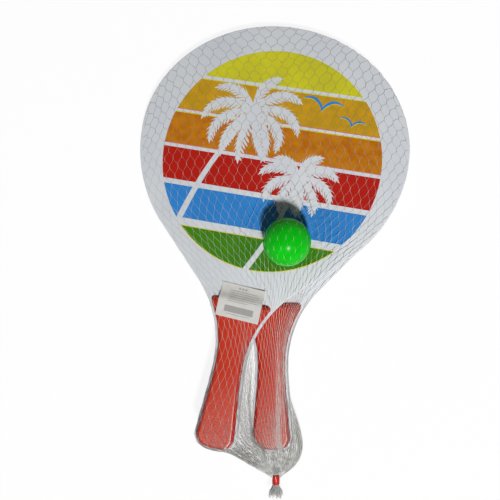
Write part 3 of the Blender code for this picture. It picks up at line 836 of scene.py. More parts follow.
nowhere = -9.0                    # lower, and further in, than any place of the bag
netShape = {
    "columns": 64,                # meshes round the bag
    "bar": 9.4 * mm,              # thread from knot to knot
    "clear": 0.22 * mm,           # from a surface to the thread's middle
    "endKnot": (-0.2 * mm, 94.1 * mm, 1.4 * mm),
    "endKnotRadius": 4.0 * mm,
    "endShare": 0.4,              # how far from the knot's middle the columns end
    "tie": (3.41 * mm, -195.0 * mm, 10.3 * mm),
    "tieRadius": 2.4 * mm,
    "tieGap": 4 * mm,             # the columns run straight over this last way to the tie
    "pitch": 1.5 * mm,            # of the height maps
    "margin": 24 * mm,            # of the maps round an outline
    "levelStep": 0.25 * mm,
    "skip": 4,                    # heights and lines are laid out at every such level only
    "gripSkirt": 0.5 * mm,        # how far a grip's slab reaches into the board
    "gripRounding": 0.9,          # of the slab, as a share of the shoulder
    "rimInset": 2.5 * mm,         # the rim's height is felt this far inside it
    "frontColumns": 14.5,         # on each side of the middle
    "behindFrom": 16.0,           # the columns between lie on the rim
    "rimTurn": 0.14,              # radians round the head that they take
    "outward": 0.12,              # how much closer the columns lie towards the sides
    "widest": 104 * mm,
    "spread": 0.30,               # how far the columns part between the widest place and the top
    "flowReach": 120 * mm,
    "flowStep": 1.0 * mm,
    "flowSteps": 700,             # at most
    "flowRelax": (1500, 0.97),    # rounds and momentum
    "bridge": {"left": (90 * mm, 30 * mm), "right": (80 * mm, 40 * mm)},   # hollows spanned: neck, funnel
    "bridgeLevels": (-112 * mm, -88 * mm),
    # the funnel's edges below the handles, as level and place, mm
    "funnel": {"left": ((-195, 1.0), (-191, -3.0), (-186.8, -10), (-180, -20), (-168.5, -35), (-158, -40)),
               "right": ((-195, 5.8), (-192.5, 8.0), (-189.3, 12.5), (-184, 19.5), (-178.1, 24.5),
                         (-168, 28.0), (-158, 28.0), (-145, 25.0), (-134, 21.0), (-124, 17.5))},
    # share of the columns and of the width, at the upper and the lower handles
    "gather": {"high": ((0, 0.08, 0.17, 0.26, 0.30, 0.33, 0.45, 0.53, 0.70, 1.0),
                        (0, 0.20, 0.40, 0.52, 0.60, 0.66, 0.80, 0.865, 0.95, 1.0)),
               "low": ((0, 0.08, 0.15, 0.27, 0.30, 0.53, 0.70, 0.73, 1.0),
                       (0, 0.20, 0.37, 0.54, 0.59, 0.75, 0.82, 0.87, 1.0))},
    "gatherLevels": (40 * mm, -110 * mm, -160 * mm),
    "tieLevels": (-158 * mm, -192 * mm),
    "press": (35.0, 12.0),        # curvature that the netting's own weight gives it, front and back
    "steps": 4,                   # of the shell to each row
    "shortest": 0.62,             # the least height of a row, as a share of the bar
    "evenRounds": 12,             # smoothing rounds of the rows' heights along the columns
    "waves": 6,                   # how unevenly the rows may run round the bag
    "levelled": 60 * mm,          # up to here the side meshes are pulled longer, so that the rows
    "dip": 12 * mm,               # are only this much lower at the sides
    "middle": 8,                  # half columns on each side of the middle that set the rows
    "settle": (7, 0.6),           # smoothing rounds of the joined columns, and their pace
    "heldRows": 0.5,              # at each column's end, which the smoothing leaves where they are
}


def unit(rows):
    return rows / np.maximum(np.linalg.norm(rows, axis=-1), 1e-12)[..., None]


def levelCrossings(ring, levels):
    # which sides of a closed outline cross each level, and where
    ahead = np.roll(ring, -1, 0)
    crossed = (ring[:, 1] > levels[:, None]) != (ahead[:, 1] > levels[:, None])
    with np.errstate(divide="ignore", invalid="ignore"):
        share = (levels[:, None] - ring[:, 1]) / (ahead[:, 1] - ring[:, 1])
        return crossed, ring[:, 0] + share * (ahead[:, 0] - ring[:, 0])


def outlineField(outline):
    # signed distance to a closed outline, on a grid, and its slope
    pitch, margin = netShape["pitch"], netShape["margin"]
    start = np.array(outline)
    step = np.roll(start, -1, 0) - start
    low = start.min(0) - margin
    count = np.ceil((start.max(0) + margin - low) / pitch).astype(int) + 1
    xs, ys = (low[i] + np.arange(count[i]) * pitch for i in (0, 1))
    crossed, crossX = levelCrossings(start, ys)
    table = np.zeros((len(xs), len(ys)))
    for i, x in enumerate(xs):
        point = np.stack([np.full(len(ys), x), ys], 1)[:, None, :]
        along = np.clip(((point - start) * step).sum(2) / (step ** 2).sum(1), 0, 1)
        away = np.linalg.norm(point - start - along[..., None] * step, axis=2).min(1)
        inside = (crossed & (x < crossX)).sum(1) % 2 == 1
        table[i] = np.where(inside, -away, away)
    return low, (table, *np.gradient(table, pitch))


def readField(field, flat):
    # bilinear reading of every table at the given places, and how far they lie outside it
    low, tables = field
    where = (flat - low) / netShape["pitch"]
    outside = where - np.clip(where, 0, np.array(tables[0].shape) - 1.001)
    where = where - outside
    cell = where.astype(int)
    part = where - cell
    values = []
    for table in tables:
        value = 0
        for dx in (0, 1):
            for dy in (0, 1):
                weight = np.abs(1 - dx - part[:, 0]) * np.abs(1 - dy - part[:, 1])
                value = value + weight * table[cell[:, 0] + dx, cell[:, 1] + dy]
        values.append(value)
    return values, np.linalg.norm(outside, axis=1) * netShape["pitch"]


def makeSolids():
    # what the net lies on: slabs in a paddle's plane, with a rounded rim, and the ball
    gripField = outlineField(gripOutline())
    slabs = []
    for which, hidden in (("rear", 1), ("front", -1)):
        back = np.array(places[which].inverted())
        # the hidden side is filled up to the grips' level, so that nothing slips between the boards
        fill = packing["gripStep"] / 2
        boardField = outlineField(boardOutline(which))
        slabs.append((back, boardField, hidden * fill, halfBoard + fill, boardShape["edge"]))
        reach = packing["gripStep"] / 2 + netShape["gripSkirt"]
        for sign in (1, -1):
            middle = sign * (halfBoard + packing["gripStep"] - reach)
            slabs.append((back, gripField, middle, reach, gripShape["shoulder"] * netShape["gripRounding"]))
    return {"slabs": slabs, "ball": (np.array(middleOf("ball")), ballShape["radius"])}


def awayFromSolids(points):
    # distance of each point to the nearest surface, and the way straight out of it
    best = np.full(len(points), np.inf)
    out = np.zeros_like(points)
    for back, field, middle, half, edge in solids["slabs"]:
        local = points @ back[:3, :3].T + back[:3, 3]
        (flat, slopeX, slopeY), outside = readField(field, local[:, :2])
        height = local[:, 2] - middle
        u, v = flat + outside + edge, np.abs(height) - half + edge
        away = np.minimum(np.maximum(u, v), 0) + np.hypot(np.maximum(u, 0), np.maximum(v, 0)) - edge
        atEdge = (u > 0) & (v > 0)
        sideways = np.where(atEdge, u, np.where(u > v, 1.0, 0.0))
        upwards = np.where(atEdge, v, np.where(u > v, 0.0, 1.0))
        way = np.stack([slopeX * sideways, slopeY * sideways, np.sign(height) * upwards], 1)
        nearer = away < best
        best[nearer], out[nearer] = away[nearer], (unit(way) @ back[:3, :3])[nearer]
    centre, radius = solids["ball"]
    apart = points - centre
    away = np.linalg.norm(apart, axis=1) - radius
    nearer = away < best
    best[nearer], out[nearer] = away[nearer], unit(apart[nearer])
    return best, out


def keepOut(points, clear, passes=1):
    flat = points.reshape(-1, 3)
    for _ in range(passes):
        away, out = awayFromSolids(flat)
        flat = flat + out * np.maximum(clear - away, 0)[:, None]
    flat[:, 2] = np.maximum(flat[:, 2], clear)        # the floor
    return flat.reshape(points.shape)


def treeOf(pieces):
    points, faces = [], []
    for piece in pieces:
        base = len(points)
        points += [v.co.copy() for v in piece.data.vertices]
        faces += [[base + i for i in p.vertices] for p in piece.data.polygons]
    return BVHTree.FromPolygons(points, faces)


def bridged(edge, radius, step):
    # rolls a disc along the edge, as taut netting spans a hollow
    reach = int(radius / step)
    offsets = range(-reach, reach + 1)
    cap = [math.sqrt(max(radius ** 2 - (k * step) ** 2, 0)) for k in offsets]
    longer = np.pad(edge, 2 * reach, constant_values=nowhere)
    count = len(edge) + 2 * reach
    wide = np.max([longer[reach + k:reach + k + count] + c for k, c in zip(offsets, cap)], 0)
    return np.min([wide[reach + k:reach + k + len(edge)] - c for k, c in zip(offsets, cap)], 0)


def sideLines():
    # the levels between the tie and the top of the heads, and the bag's left and right edge there
    rings = [np.array([tuple(place @ Vector((x, y, 0))) for x, y in boardOutline(which)])
             for which, place in places.items()]
    step = netShape["levelStep"]
    levels = np.arange(netShape["tie"][1], max(ring[:, 1].max() for ring in rings), step)
    upper = smooth(levels, *netShape["bridgeLevels"])
    edges = []
    for name, side in (("left", -1), ("right", 1)):
        edge = np.full(len(levels), nowhere)
        for ring in rings:
            crossed, x = levelCrossings(ring, levels)
            edge = np.maximum(edge, np.where(crossed, side * x, nowhere).max(1))
        level, x = np.array(netShape["funnel"][name]).T * mm
        hanging = side * np.interp(levels, level, x, right=side * nowhere)
        overNeck, overFunnel = netShape["bridge"][name]
        neck, funnel = bridged(edge, overNeck, step), bridged(np.maximum(edge, hanging), overFunnel, step)
        edges.append(side * (neck * upper + funnel * (1 - upper)))
    return levels, *edges


def bothSides(y, edges):
    levels, left, right = edges
    return np.interp(y, levels, left), np.interp(y, levels, right)


def heightAt(tree, x, y, side):
    # the set's surface at a flat place, seen from above (1) or below (-1); nan beside the set
    hit = tree.ray_cast(Vector((x, y, side)), Vector((0, 0, -side)))[0]
    return hit.z if hit else np.nan


def edgeHeights(tree, levels, edge, inwards):
    # the middle of the rim's height at each level, bridged where only netting is
    coarse = levels[::netShape["skip"]]
    spots = edge[::netShape["skip"]] + inwards * netShape["rimInset"]
    heights = np.array([(heightAt(tree, x, y, 1) + heightAt(tree, x, y, -1)) / 2
                        for x, y in zip(spots, coarse)])
    heights[0] = netShape["tie"][2]
    known = ~np.isnan(heights)
    return np.interp(levels, coarse[known], heights[known])


def relax(table, fixed, floor, rounds=700, momentum=0.94, press=0.0):
    # a taut skin between its fixed places, above the floor that is given
    last = table.copy()
    for _ in range(rounds):
        middle = table.copy()
        middle[1:-1, 1:-1] = (table[2:, 1:-1] + table[:-2, 1:-1]
                              + table[1:-1, 2:] + table[1:-1, :-2]) / 4 - press
        moved = middle + momentum * (table - last)
        last, table = table, np.where(fixed, table, np.maximum(moved, floor))
    return table


def outwards(table, fixed, cells=2):
    # the values just inside the edge are carried a little way past it
    known = ~fixed
    table = table.copy()
    for _ in range(cells):
        total, count = np.zeros_like(table), np.zeros_like(table)
        for axis in (0, 1):
            for way in (1, -1):
                near = np.roll(known, way, axis)
                total += np.where(near, np.roll(table, way, axis), 0)
                count += near
        fresh = ~known & (count > 0)
        table[fresh] = total[fresh] / count[fresh]
        known = known | fresh
    return table


def heightMaps(tree, edges):
    # the taut bag's height at each flat place, in front and behind
    pitch = netShape["pitch"]
    levels, left, right = edges
    tieX, tieY, tieZ = netShape["tie"]
    low = np.array([left.min() - 4 * pitch, tieY])
    count = (int((right.max() - low[0]) / pitch) + 6, int((levels[-1] - tieY) / pitch) + 5)
    xs, ys = (low[i] + np.arange(count[i]) * pitch for i in (0, 1))
    atLeft, atRight = bothSides(ys, edges)
    beyond = (xs[:, None] < atLeft) | (xs[:, None] > atRight) | (ys > levels[-1])
    beyond[:, 0] = True
    share = np.clip((xs[:, None] - atLeft) / np.maximum(atRight - atLeft, 1e-6), 0, 1)
    leftRim, rightRim = (np.interp(ys, levels, edgeHeights(tree, levels, edge, inwards))
                         for edge, inwards in ((left, 1), (right, -1)))
    rim = leftRim * (1 - share) + rightRim * share
    bulge = np.sqrt(np.clip(netShape["tieRadius"] ** 2 - (xs - tieX) ** 2, 0, None))
    maps = {}
    for name, sign, press in zip(("front", "back"), (1, -1), netShape["press"]):
        heights = np.array([[sign * heightAt(tree, x, y, sign) for y in ys] for x in xs])
        floor = np.nan_to_num(heights + netShape["clear"], nan=nowhere)
        table = np.where(beyond, sign * rim, np.maximum(sign * rim, floor))
        table[:, 0] = sign * tieZ + bulge
        table = relax(table, beyond, floor, press=press * pitch ** 2 / 4)
        maps[name] = low, (sign * outwards(table, beyond),)
    return xs, ys, beyond, maps


def frontColumn(s, y, edges):
    # where column s crosses level y on the front
    full = netShape["frontColumns"]
    even = (s + full) / (2 * full)
    high, low = (np.interp(even, *netShape["gather"][key]) for key in ("high", "low"))
    start, middle, end = netShape["gatherLevels"]
    gathered = high + (low - high) * smooth(y, middle, end)
    even = even + netShape["outward"] * even * (1 - even) * (2 * even - 1)
    loose = smooth(y, start, middle)
    tied = smooth(y, *netShape["tieLevels"])
    share = even + (gathered - even) * loose * (1 - tied)
    widest = netShape["widest"]
    a, b = bothSides(np.minimum(y, widest), edges)
    part = 1 + netShape["spread"] * (np.maximum(y - widest, 0) / packing["headRise"]) ** 2
    return (a + b) / 2 + (b - a) * (share - 0.5) * part


def frontPath(s, edges):
    # flat path of a front column from the tie to where it leaves over the rim
    levels, left, right = edges
    x = frontColumn(s, levels, edges)
    over = (levels > netShape["widest"]) & ((x <= left) | (x >= right))
    end = int(np.argmax(over)) if over.any() else len(levels) - 1
    return np.stack([x[:end + 1], levels[:end + 1]], 1)


def backColumns(xs, ys, beyond, edges, crossings):
    # behind, the columns follow a flow that enters at the tie and over the upper rim, and ends in the knot
    knot = np.array(netShape["endKnot"][:2])
    columns, step, clear = netShape["columns"], netShape["flowStep"], netShape["clear"]
    perRadian = columns / (2 * math.pi)
    dx, dy = xs[:, None] - knot[0], ys[None, :] - knot[1]
    away, angle = np.hypot(dx, dy), np.arctan2(dx, dy)
    border = np.interp(angle, *zip(*crossings))
    rest = (border - perRadian * angle) * np.where(beyond, 1, np.clip(away / netShape["flowReach"], 0, 1))
    rest = relax(rest, beyond | (away < 1 * mm), -np.inf, *netShape["flowRelax"])
    field = np.array([xs[0], ys[0]]), (rest, *np.gradient(rest, netShape["pitch"]))

    def flow(points):
        # the number of the column at each point, and how it changes from there
        (value, sx, sy), _ = readField(field, points)
        x, y = (points - knot).T
        size2 = x ** 2 + y ** 2
        slope = np.stack([sx + perRadian * y / size2, sy - perRadian * x / size2], 1)
        return value + perRadian * (np.arctan2(x, y) % (2 * math.pi)), slope

    def onKnot(turn):
        return knot + netShape["endKnotRadius"] * np.stack([np.sin(turn), np.cos(turn)], 1)

    # the columns leave the knot where their numbers are met round it
    ring = np.linspace(0, 2 * math.pi, 721)[:-1] + 1e-4
    values = flow(onKnot(ring))[0] % columns
    order = np.argsort(values)
    wanted = np.arange(2 * columns) / 2
    points = onKnot(np.interp(wanted, values[order], np.unwrap(ring[order], period=2 * math.pi)))
    paths = [[p] for p in points]
    moving = np.ones(len(points), bool)
    staying = np.abs(wanted - columns / 2) <= columns / 2 - netShape["behindFrom"]
    for _ in range(netShape["flowSteps"]):
        slope = flow(points)[1]
        points = points + step * unit(np.stack([-slope[:, 1], slope[:, 0]], 1))
        # each point is drawn back onto its own column, by half a step at most
        value, slope = flow(points)
        miss = (wanted - value + columns / 2) % columns - columns / 2
        shift = miss[:, None] * slope / (slope ** 2).sum(1)[:, None]
        size = np.linalg.norm(shift, axis=1)[:, None]
        points = points + shift * np.minimum(1, 0.5 * step / np.maximum(size, 1e-12))
        inner, outer = bothSides(points[:, 1], edges)
        # the columns that stay behind keep within the rim
        held = np.clip(points[:, 0], inner + clear, outer - clear)
        points[:, 0] = np.where(staying, held, points[:, 0])
        x, y = points.T
        moving &= (x > inner) & (x < outer) & (y < edges[0][-1]) & (y > edges[0][0] + step)
        for k in np.nonzero(moving)[0]:
            paths[k].append(points[k])
        if not moving.any():
            break
    return [np.array(path)[::-1] for path in paths]


def lifted(flat, field):
    (height,), _ = readField(field, flat)
    return np.column_stack([flat, height])


def layColumns(tree):
    # every half column of the bag as a line in space from the tie to the end knot
    edges = sideLines()
    levels, left, right = edges
    xs, ys, beyond, maps = heightMaps(tree, edges)
    print("stage: taut skins over the set,", beyond.size, "places")
    knot, tie, columns = np.array(netShape["endKnot"]), np.array(netShape["tie"]), netShape["columns"]
    full, behind, turn = netShape["frontColumns"], netShape["behindFrom"], netShape["rimTurn"]
    skip = netShape["skip"]
    # where the front columns leave over the rim: the angle round the far knot, and the column
    crossings = []
    for s in np.linspace(-full, full, 61):
        x, y = frontPath(s, edges)[-1]
        crossings.append((math.atan2(x - knot[0], y - knot[1]), s))
    crossings = [(crossings[0][0] - turn, -behind), *crossings, (crossings[-1][0] + turn, behind)]
    lines = []
    for number, flat in enumerate(backColumns(xs, ys, beyond, edges, crossings)):
        s = number / 2
        s = s - columns if s > columns / 2 else s
        line = lifted(flat, maps["back"])
        if abs(s) < behind:
            if abs(s) <= full:
                front = lifted(frontPath(s, edges)[::skip], maps["front"])
            else:
                end = np.searchsorted(levels, flat[0, 1])
                side = np.stack([(right if s > 0 else left)[:end:skip], levels[:end:skip]], 1)
                share = (abs(s) - full) / (behind - full)
                front = lifted(side, maps["front"]) * (1 - share) + lifted(side, maps["back"]) * share
            # down the rim's wall
            out = np.append(unit(front[-1, :2] - (0, netShape["widest"])) * netShape["clear"], 0)
            lowest = lifted(front[-1:, :2], maps["back"])[0]
            wall = [front[-1] * (1 - t) + lowest * t + out for t in np.linspace(0, 1, 7)]
            line = np.concatenate([front, wall, line])
        angle = math.pi / 2 - 2 * math.pi * s / columns
        start = tie + netShape["tieRadius"] * np.array([math.cos(angle), 0, math.sin(angle)])
        beyondTie = line[np.linalg.norm(line - tie, axis=1) > netShape["tieGap"]]
        lines.append(np.concatenate([[start], beyondTie, [knot + (line[-1] - knot) * netShape["endShare"]]]))
    return lines


def lengthsOf(line):
    return np.concatenate([[0], np.cumsum(np.linalg.norm(np.diff(line, axis=0), axis=1))])


def alongLine(line, wanted):
    # points at the wanted lengths along a line
    lengths = lengthsOf(line)
    return np.stack([np.interp(wanted, lengths, line[:, k]) for k in range(3)], 1)


def makeShell(lines):
    # the columns as one grid, a few steps to each row of meshes; each column has its own last row
    bar, steps, clear, count = netShape["bar"], netShape["steps"], netShape["clear"], len(lines)
    step = bar / steps
    ends = np.array([lengthsOf(line)[-1] for line in lines])
    reach = np.arange(0, ends.max() + step, step)
    even = np.stack([alongLine(line, reach) for line in lines])
    # wide meshes are low ones
    half = np.linalg.norm(np.roll(even, -1, 0) - np.roll(even, 1, 0), axis=2) / 2
    rowLength = np.sqrt(np.maximum(bar ** 2 - half ** 2, (netShape["shortest"] * bar) ** 2))
    for _ in range(netShape["evenRounds"]):
        rowLength[:, 1:-1] = (rowLength[:, 1:-1] * 2 + rowLength[:, 2:] + rowLength[:, :-2]) / 4
    spectrum = np.fft.rfft(rowLength, axis=0)
    spectrum[netShape["waves"]:] = 0
    rowLength = np.fft.irfft(spectrum, count, axis=0)
    rows = np.concatenate([np.zeros((count, 1)), np.cumsum(step / rowLength[:, :-1], 1)], 1)
    # even rows across the head
    each = np.arange(count)
    crossed = (even[:, :, 1] > netShape["levelled"]).argmax(1)
    number, across = rows[each, crossed], even[each, crossed, 0]
    near = (each + netShape["middle"]) % count <= 2 * netShape["middle"]
    wanted = number[near].mean() + netShape["dip"] / bar * (across / boardShape["headWidth"] * 2) ** 2
    rows = (np.minimum(rows, number[:, None]) * (wanted / number)[:, None]
            + np.maximum(rows - number[:, None], 0))
    lastRow = np.array([np.interp(end, reach, row) for end, row in zip(ends, rows)])
    wanted = np.arange(0, lastRow.max() + 1 / steps, 1 / steps)
    shell = np.stack([alongLine(line, np.minimum(np.interp(wanted, row, reach), end))
                      for line, row, end in zip(lines, rows, ends)])
    shell = keepOut(shell, clear, passes=3)
    held = wanted[None, :] >= lastRow[:, None] - netShape["heldRows"]
    held[:, 0] = True
    rounds, pace = netShape["settle"]
    for _ in range(rounds):
        middle = shell.copy()
        middle[:, 1:-1] = (np.roll(shell, 1, 0)[:, 1:-1] + np.roll(shell, -1, 0)[:, 1:-1]
                           + shell[:, 2:] + shell[:, :-2]) / 4
        shell = np.where(held[..., None], shell, keepOut(shell + pace * (middle - shell), clear, passes=2))
    return shell, lastRow


def readShell(shell, column, row):
    # the shell's point at a fractional half column and row, smooth across its cells
    around, along = shell.shape[:2]
    column = column % around
    way = np.clip(row * netShape["steps"], 0, along - 1.0001)
    i, j = column.astype(int), way.astype(int)
    p, q = (column - i)[..., None], (way - j)[..., None]
    near, far = i % around, (i + 1) % around
    lower, upper = (shell[near, k] * (1 - p) + shell[far, k] * p for k in (j, j + 1))
    return lower * (1 - q) + upper * q


threadShape = {
    "thickness": 0.18 * mm,
    "perRow": 8,                  # points to each row
    "knotSwell": 2.1,             # the thread looks this much thicker where two are knitted together
    "knotLength": 0.26,           # share of a half row that the two threads run side by side
    "knotFall": (1.6, 0.11),      # how the knot's thickness falls off along the row
    "stretched": (0.85, 0.4),     # how much thinner the taut bars and knots on the ball are
    "ballReach": (1.5 * mm, 7 * mm),
    "funnelSwell": 3.0,           # threads crease together towards the tie
    "funnelLevels": (-123 * mm, -192 * mm),
    "round": (20 * mm, 140 * mm),   # between these levels the slack meshes turn from pointed to round
    # the painted light and shade of the thread at each level, mm, darker towards the top, and how the painted
    # light of its knots fades
    "tone": ((-150, 0.48), (-90, 0.70), (-25, 0.92), (15, 0.82), (60, 0.66), (102, 0.55), (116, 0.28),
             (150, 0.12)),
    "knotFade": 0.85,
    "fadeLevels": (90 * mm, 150 * mm),
    "dense": (0.6 * mm, 1.6 * mm),   # parting of the columns where their threads run together
    # bunched meshes close in pairs, and every other thread comes to the top: swell and painted lightness
    "bunched": ((1.2, 1.0), (-0.75, 0.5)),
    # unevenness of the knitting: its size in half columns and rows, its waves round the bag and per row
    "aside": (0.20, ((9, 0.31), (14, 0.47), (23, 0.83), (31, 1.31))),
    "ahead": (0.09, ((7, 0.41), (17, 0.59), (29, 0.97), (37, 1.17))),
    "wanderSeed": 11,
    "even": 4,                    # rows at both ends over which the unevenness dies away
    "error": 0.05 * mm,           # of the drawn thread against its path
    "aslant": (0.13, 0.21, 0.97),   # a direction that no thread follows
    "anyPhase": (0, 6),           # radians, of a strand's own waves
}


def wander(key, column, row, phases):
    # neighbours wander together, so that their knots still meet
    size, waves = threadShape[key]
    turn = column * 2 * math.pi / len(netShell)
    return size * sum(np.sin(turn * n + row * f + phase) for (n, f), phase in zip(waves, phases)) / len(waves)


def knitThread(k, phases):
    # a thread zigzags between two half columns and is knitted to its neighbour at each turn
    beside = (k + 1) % len(netShell)
    stations = np.arange(netShell.shape[1]) / netShape["steps"]
    last = min(netEnds[k], netEnds[beside])
    row = np.arange(0, last, 1 / threadShape["perRow"])
    level = np.interp(row, stations, netShell[k, :, 1])
    wave = np.cos(math.pi * (row + k))
    swing = np.clip(np.arcsin(wave) * 2 / math.pi * (1 + threadShape["knotLength"]), -1, 1)
    swing = swing + (np.sin(swing * math.pi / 2) - swing) * smooth(level, *threadShape["round"])
    column = k + 0.5 - 0.5 * swing
    inner = np.clip(np.minimum(row, last - row) / threadShape["even"], 0, 1)
    points = readShell(netShell, column + wander("aside", column, row, phases[:, 0]) * inner,
                       row + wander("ahead", column, row, phases[:, 1]) * inner)
    path = keepOut(points, netShape["clear"], passes=2)
    top, fall = threadShape["knotFall"]
    nearKnot = np.clip(top - np.abs(row - np.round(row)) / fall, 0, 1)
    centre, radius = solids["ball"]
    toBall = np.linalg.norm(path - centre, axis=1) - radius
    onBall = 1 - smooth(toBall, *threadShape["ballReach"])
    thinner, smaller = threadShape["stretched"]
    knot = threadShape["knotSwell"] * (1 - smaller * onBall) * nearKnot
    bar = (1 - thinner * onBall) * (1 - nearKnot) + knot
    parting = np.interp(row, stations, np.linalg.norm(netShell[beside] - netShell[k], axis=1))
    dense = 1 - smooth(parting, *threadShape["dense"])
    inFunnel = smooth(path[:, 1], *threadShape["funnelLevels"])
    swell, light = threadShape["bunched"][k % 2]
    wide = bar * (1 + swell * dense * (1 - inFunnel)) + (threadShape["funnelSwell"] - 1) * inFunnel
    # painted light and shade along the thread: a tone by level that darkens towards the top, knots painted
    # light as if they caught the lamp and fading towards the top, bunched threads painted light and grey in
    # turn
    tone = np.interp(level / mm, *zip(*threadShape["tone"]))
    faded = 1 - threadShape["knotFade"] * smooth(level, *threadShape["fadeLevels"])
    toneAndPaintedLight = np.maximum(tone, nearKnot * faded) * (1 - dense) + light * dense
    return path, threadShape["thickness"] / 2 * wide, toneAndPaintedLight


def thinOut(path, error):
    # the points that a polyline needs, to stay within the error
    keep = np.zeros(len(path), bool)
    keep[[0, -1]] = True
    stack = [(0, len(path) - 1)]
    while stack:
        a, b = stack.pop()
        if b - a > 1:
            chord = unit(path[b] - path[a])
            apart = path[a + 1:b] - path[a]
            away = np.linalg.norm(apart - (apart @ chord)[:, None] * chord, axis=1)
            worst = int(away.argmax())
            if away[worst] > error:
                middle = a + 1 + worst
                keep[middle] = True
                stack += [(a, middle), (middle, b)]
    return np.nonzero(keep)[0]


def tubes(name, strands, sides=4):
    # tubes of net thread as one mesh; a strand is its points, their radii and its tone with painted light and
    # shade there
    angle = (np.arange(sides) + 0.5) * 2 * math.pi / sides
    one = np.arange(sides)
    two = (one + 1) % sides
    points, quads, caps = [], [], []
    count = 0
    for path, radius, _ in strands:
        ahead = unit(np.gradient(path, axis=0))
        side = unit(np.cross(ahead, threadShape["aslant"]))
        up = np.cross(side, ahead)
        ring = np.cos(angle)[:, None] * side[:, None] + np.sin(angle)[:, None] * up[:, None]
        points.append((path[:, None] + radius[:, None, None] * ring).reshape(-1, 3))
        base = count + np.arange(len(path) - 1)[:, None] * sides
        corners = [base + one, base + two, base + two + sides, base + one + sides]
        quads.append(np.stack(corners, 2).reshape(-1, 4))
        caps.append(count + one[::-1])
        count += len(path) * sides
        caps.append(count - sides + one)
    points, quads, caps = np.concatenate(points), np.concatenate(quads), np.array(caps)
    mesh = bpy.data.meshes.new(name)
    mesh.vertices.add(len(points))
    mesh.vertices.foreach_set("co", points.astype(np.float32).ravel())
    corners = np.concatenate([quads.ravel(), caps.ravel()])
    mesh.loops.add(len(corners))
    mesh.loops.foreach_set("vertex_index", corners.astype(np.int32))
    mesh.polygons.add(len(quads) + len(caps))
    starts = np.concatenate([np.arange(len(quads)) * 4, quads.size + np.arange(len(caps)) * sides])
    mesh.polygons.foreach_set("loop_start", starts.astype(np.int32))
    mesh.update(calc_edges=True)
    toneAndPaintedLight = mesh.attributes.new("toneAndPaintedLight", "FLOAT", "POINT")
    values = np.concatenate([strand[2] for strand in strands])
    toneAndPaintedLight.data.foreach_set("value", np.repeat(values, sides).astype(np.float32))
    mesh.validate()
    mesh.shade_smooth()
    mesh.materials.append(netThread)
    return linkPiece(name, mesh)


def makeNetThread():
    # drawn polyethylene thread: whitish with painted light where its value is high, painted grey shade where
    # it is low, soft gloss
    material, tree, shader = newMaterial("milky polyethylene thread")
    toneAndPaintedLight = addNode(tree, "ShaderNodeAttribute", attribute_name="toneAndPaintedLight").outputs["Fac"]
    tone = ramp(tree, toneAndPaintedLight, (0.0, "#626463"), (0.22, "#7C796E"), (0.42, "#8C8B88"), (1.0, "#CCCCC8"))
    feed(tree, shader, {
        "Base Color": scaled(tree, tone, mapped(tree, noise(tree, 5 * mm, 2), 0.3, 0.7, 0.93, 1.05)),
        "Roughness": 0.38,
        "Specular IOR Level": 0.25,
    })
    return material


def makeNet():
    phases = np.random.default_rng(threadShape["wanderSeed"]).uniform(0, 2 * math.pi, (4, 2))
    strands = [knitThread(k, phases) for k in range(len(netShell))]
    half = len(strands) // 2
    for name, part in (("netBagRight", strands[:half]), ("netBagLeft", strands[half:])):
        thinned = []
        for strand in part:
            kept = thinOut(strand[0], threadShape["error"])
            thinned.append([values[kept] for values in strand])
        net = tubes(name, thinned)
        handIn(net, "net_bag")
        print("stage:", name, len(net.data.polygons), "faces")


netThread = makeNetThread()
solids = makeSolids()
netLines = layColumns(treeOf(paddles + [ball]))
print("stage: columns laid out")
netShell, netEnds = makeShell(netLines)
print("stage: shell of", netShell.shape)
makeNet()


# Bunched netting over the lower handles: closed meshes that run up from the tie as fine strands

foldShape = {
    "front": 700,                 # strands tried on the front, evenly across its width at the lower handles
    # up to this share of the width: share of the strands kept, rows that they reach up, painted light and
    # shade (low is grey shade)
    "zones": ((0.42, 0.20, (6.0, 10.0), (0.25, 0.65)), (0.54, 1.0, (9.0, 18.0), (0.40, 0.85)),
              (0.60, 0.04, (6.0, 9.0), (0.25, 0.65)), (0.74, 0.12, (6.0, 9.0), (0.5, 0.9)),
              (0.82, 0.55, (7.0, 12.5), (0.85, 1.0)), (0.87, 0.04, (6.0, 9.0), (0.25, 0.65)),
              (0.95, 1.0, (6.0, 11.0), (0.25, 0.65)), (1.0, 0.35, (6.0, 9.0), (0.15, 0.5))),
    "behind": (330, (6.0, 12.0), (0.25, 0.65)),   # strands, rows, painted light and shade
    "sway": 0.9,                  # half columns
    # creases, their strands painted dark as shade: half column, spread, strands, rows
    "creases": ((103.0, 0.4, 50, 6.5), (23.5, 1.0, 90, 7.5), (26.0, 0.8, 80, 6.5), (97.5, 0.6, 14, 5.0),
                (114.4, 0.12, 26, 15.5), (99.0, 0.12, 8, 16.5)),
    "crease": ((0.6, 1.1), 0.3, (0.0, 0.3)),   # share of its rows, sway, painted light and shade (kept dark)
    "perRow": 4,                  # points to each row
    "waves": (0.5, 1.3),          # radians to each row
    "steady": 3,                  # rows above the tie before a strand sways fully
    "above": (0.8, 2.0),          # times the net's clearance
    "radius": (0.05 * mm, 0.085 * mm),
    "taper": (1.5, 0.3),          # rows at the upper end, and what is left of the thickness
    "seed": 23,
}


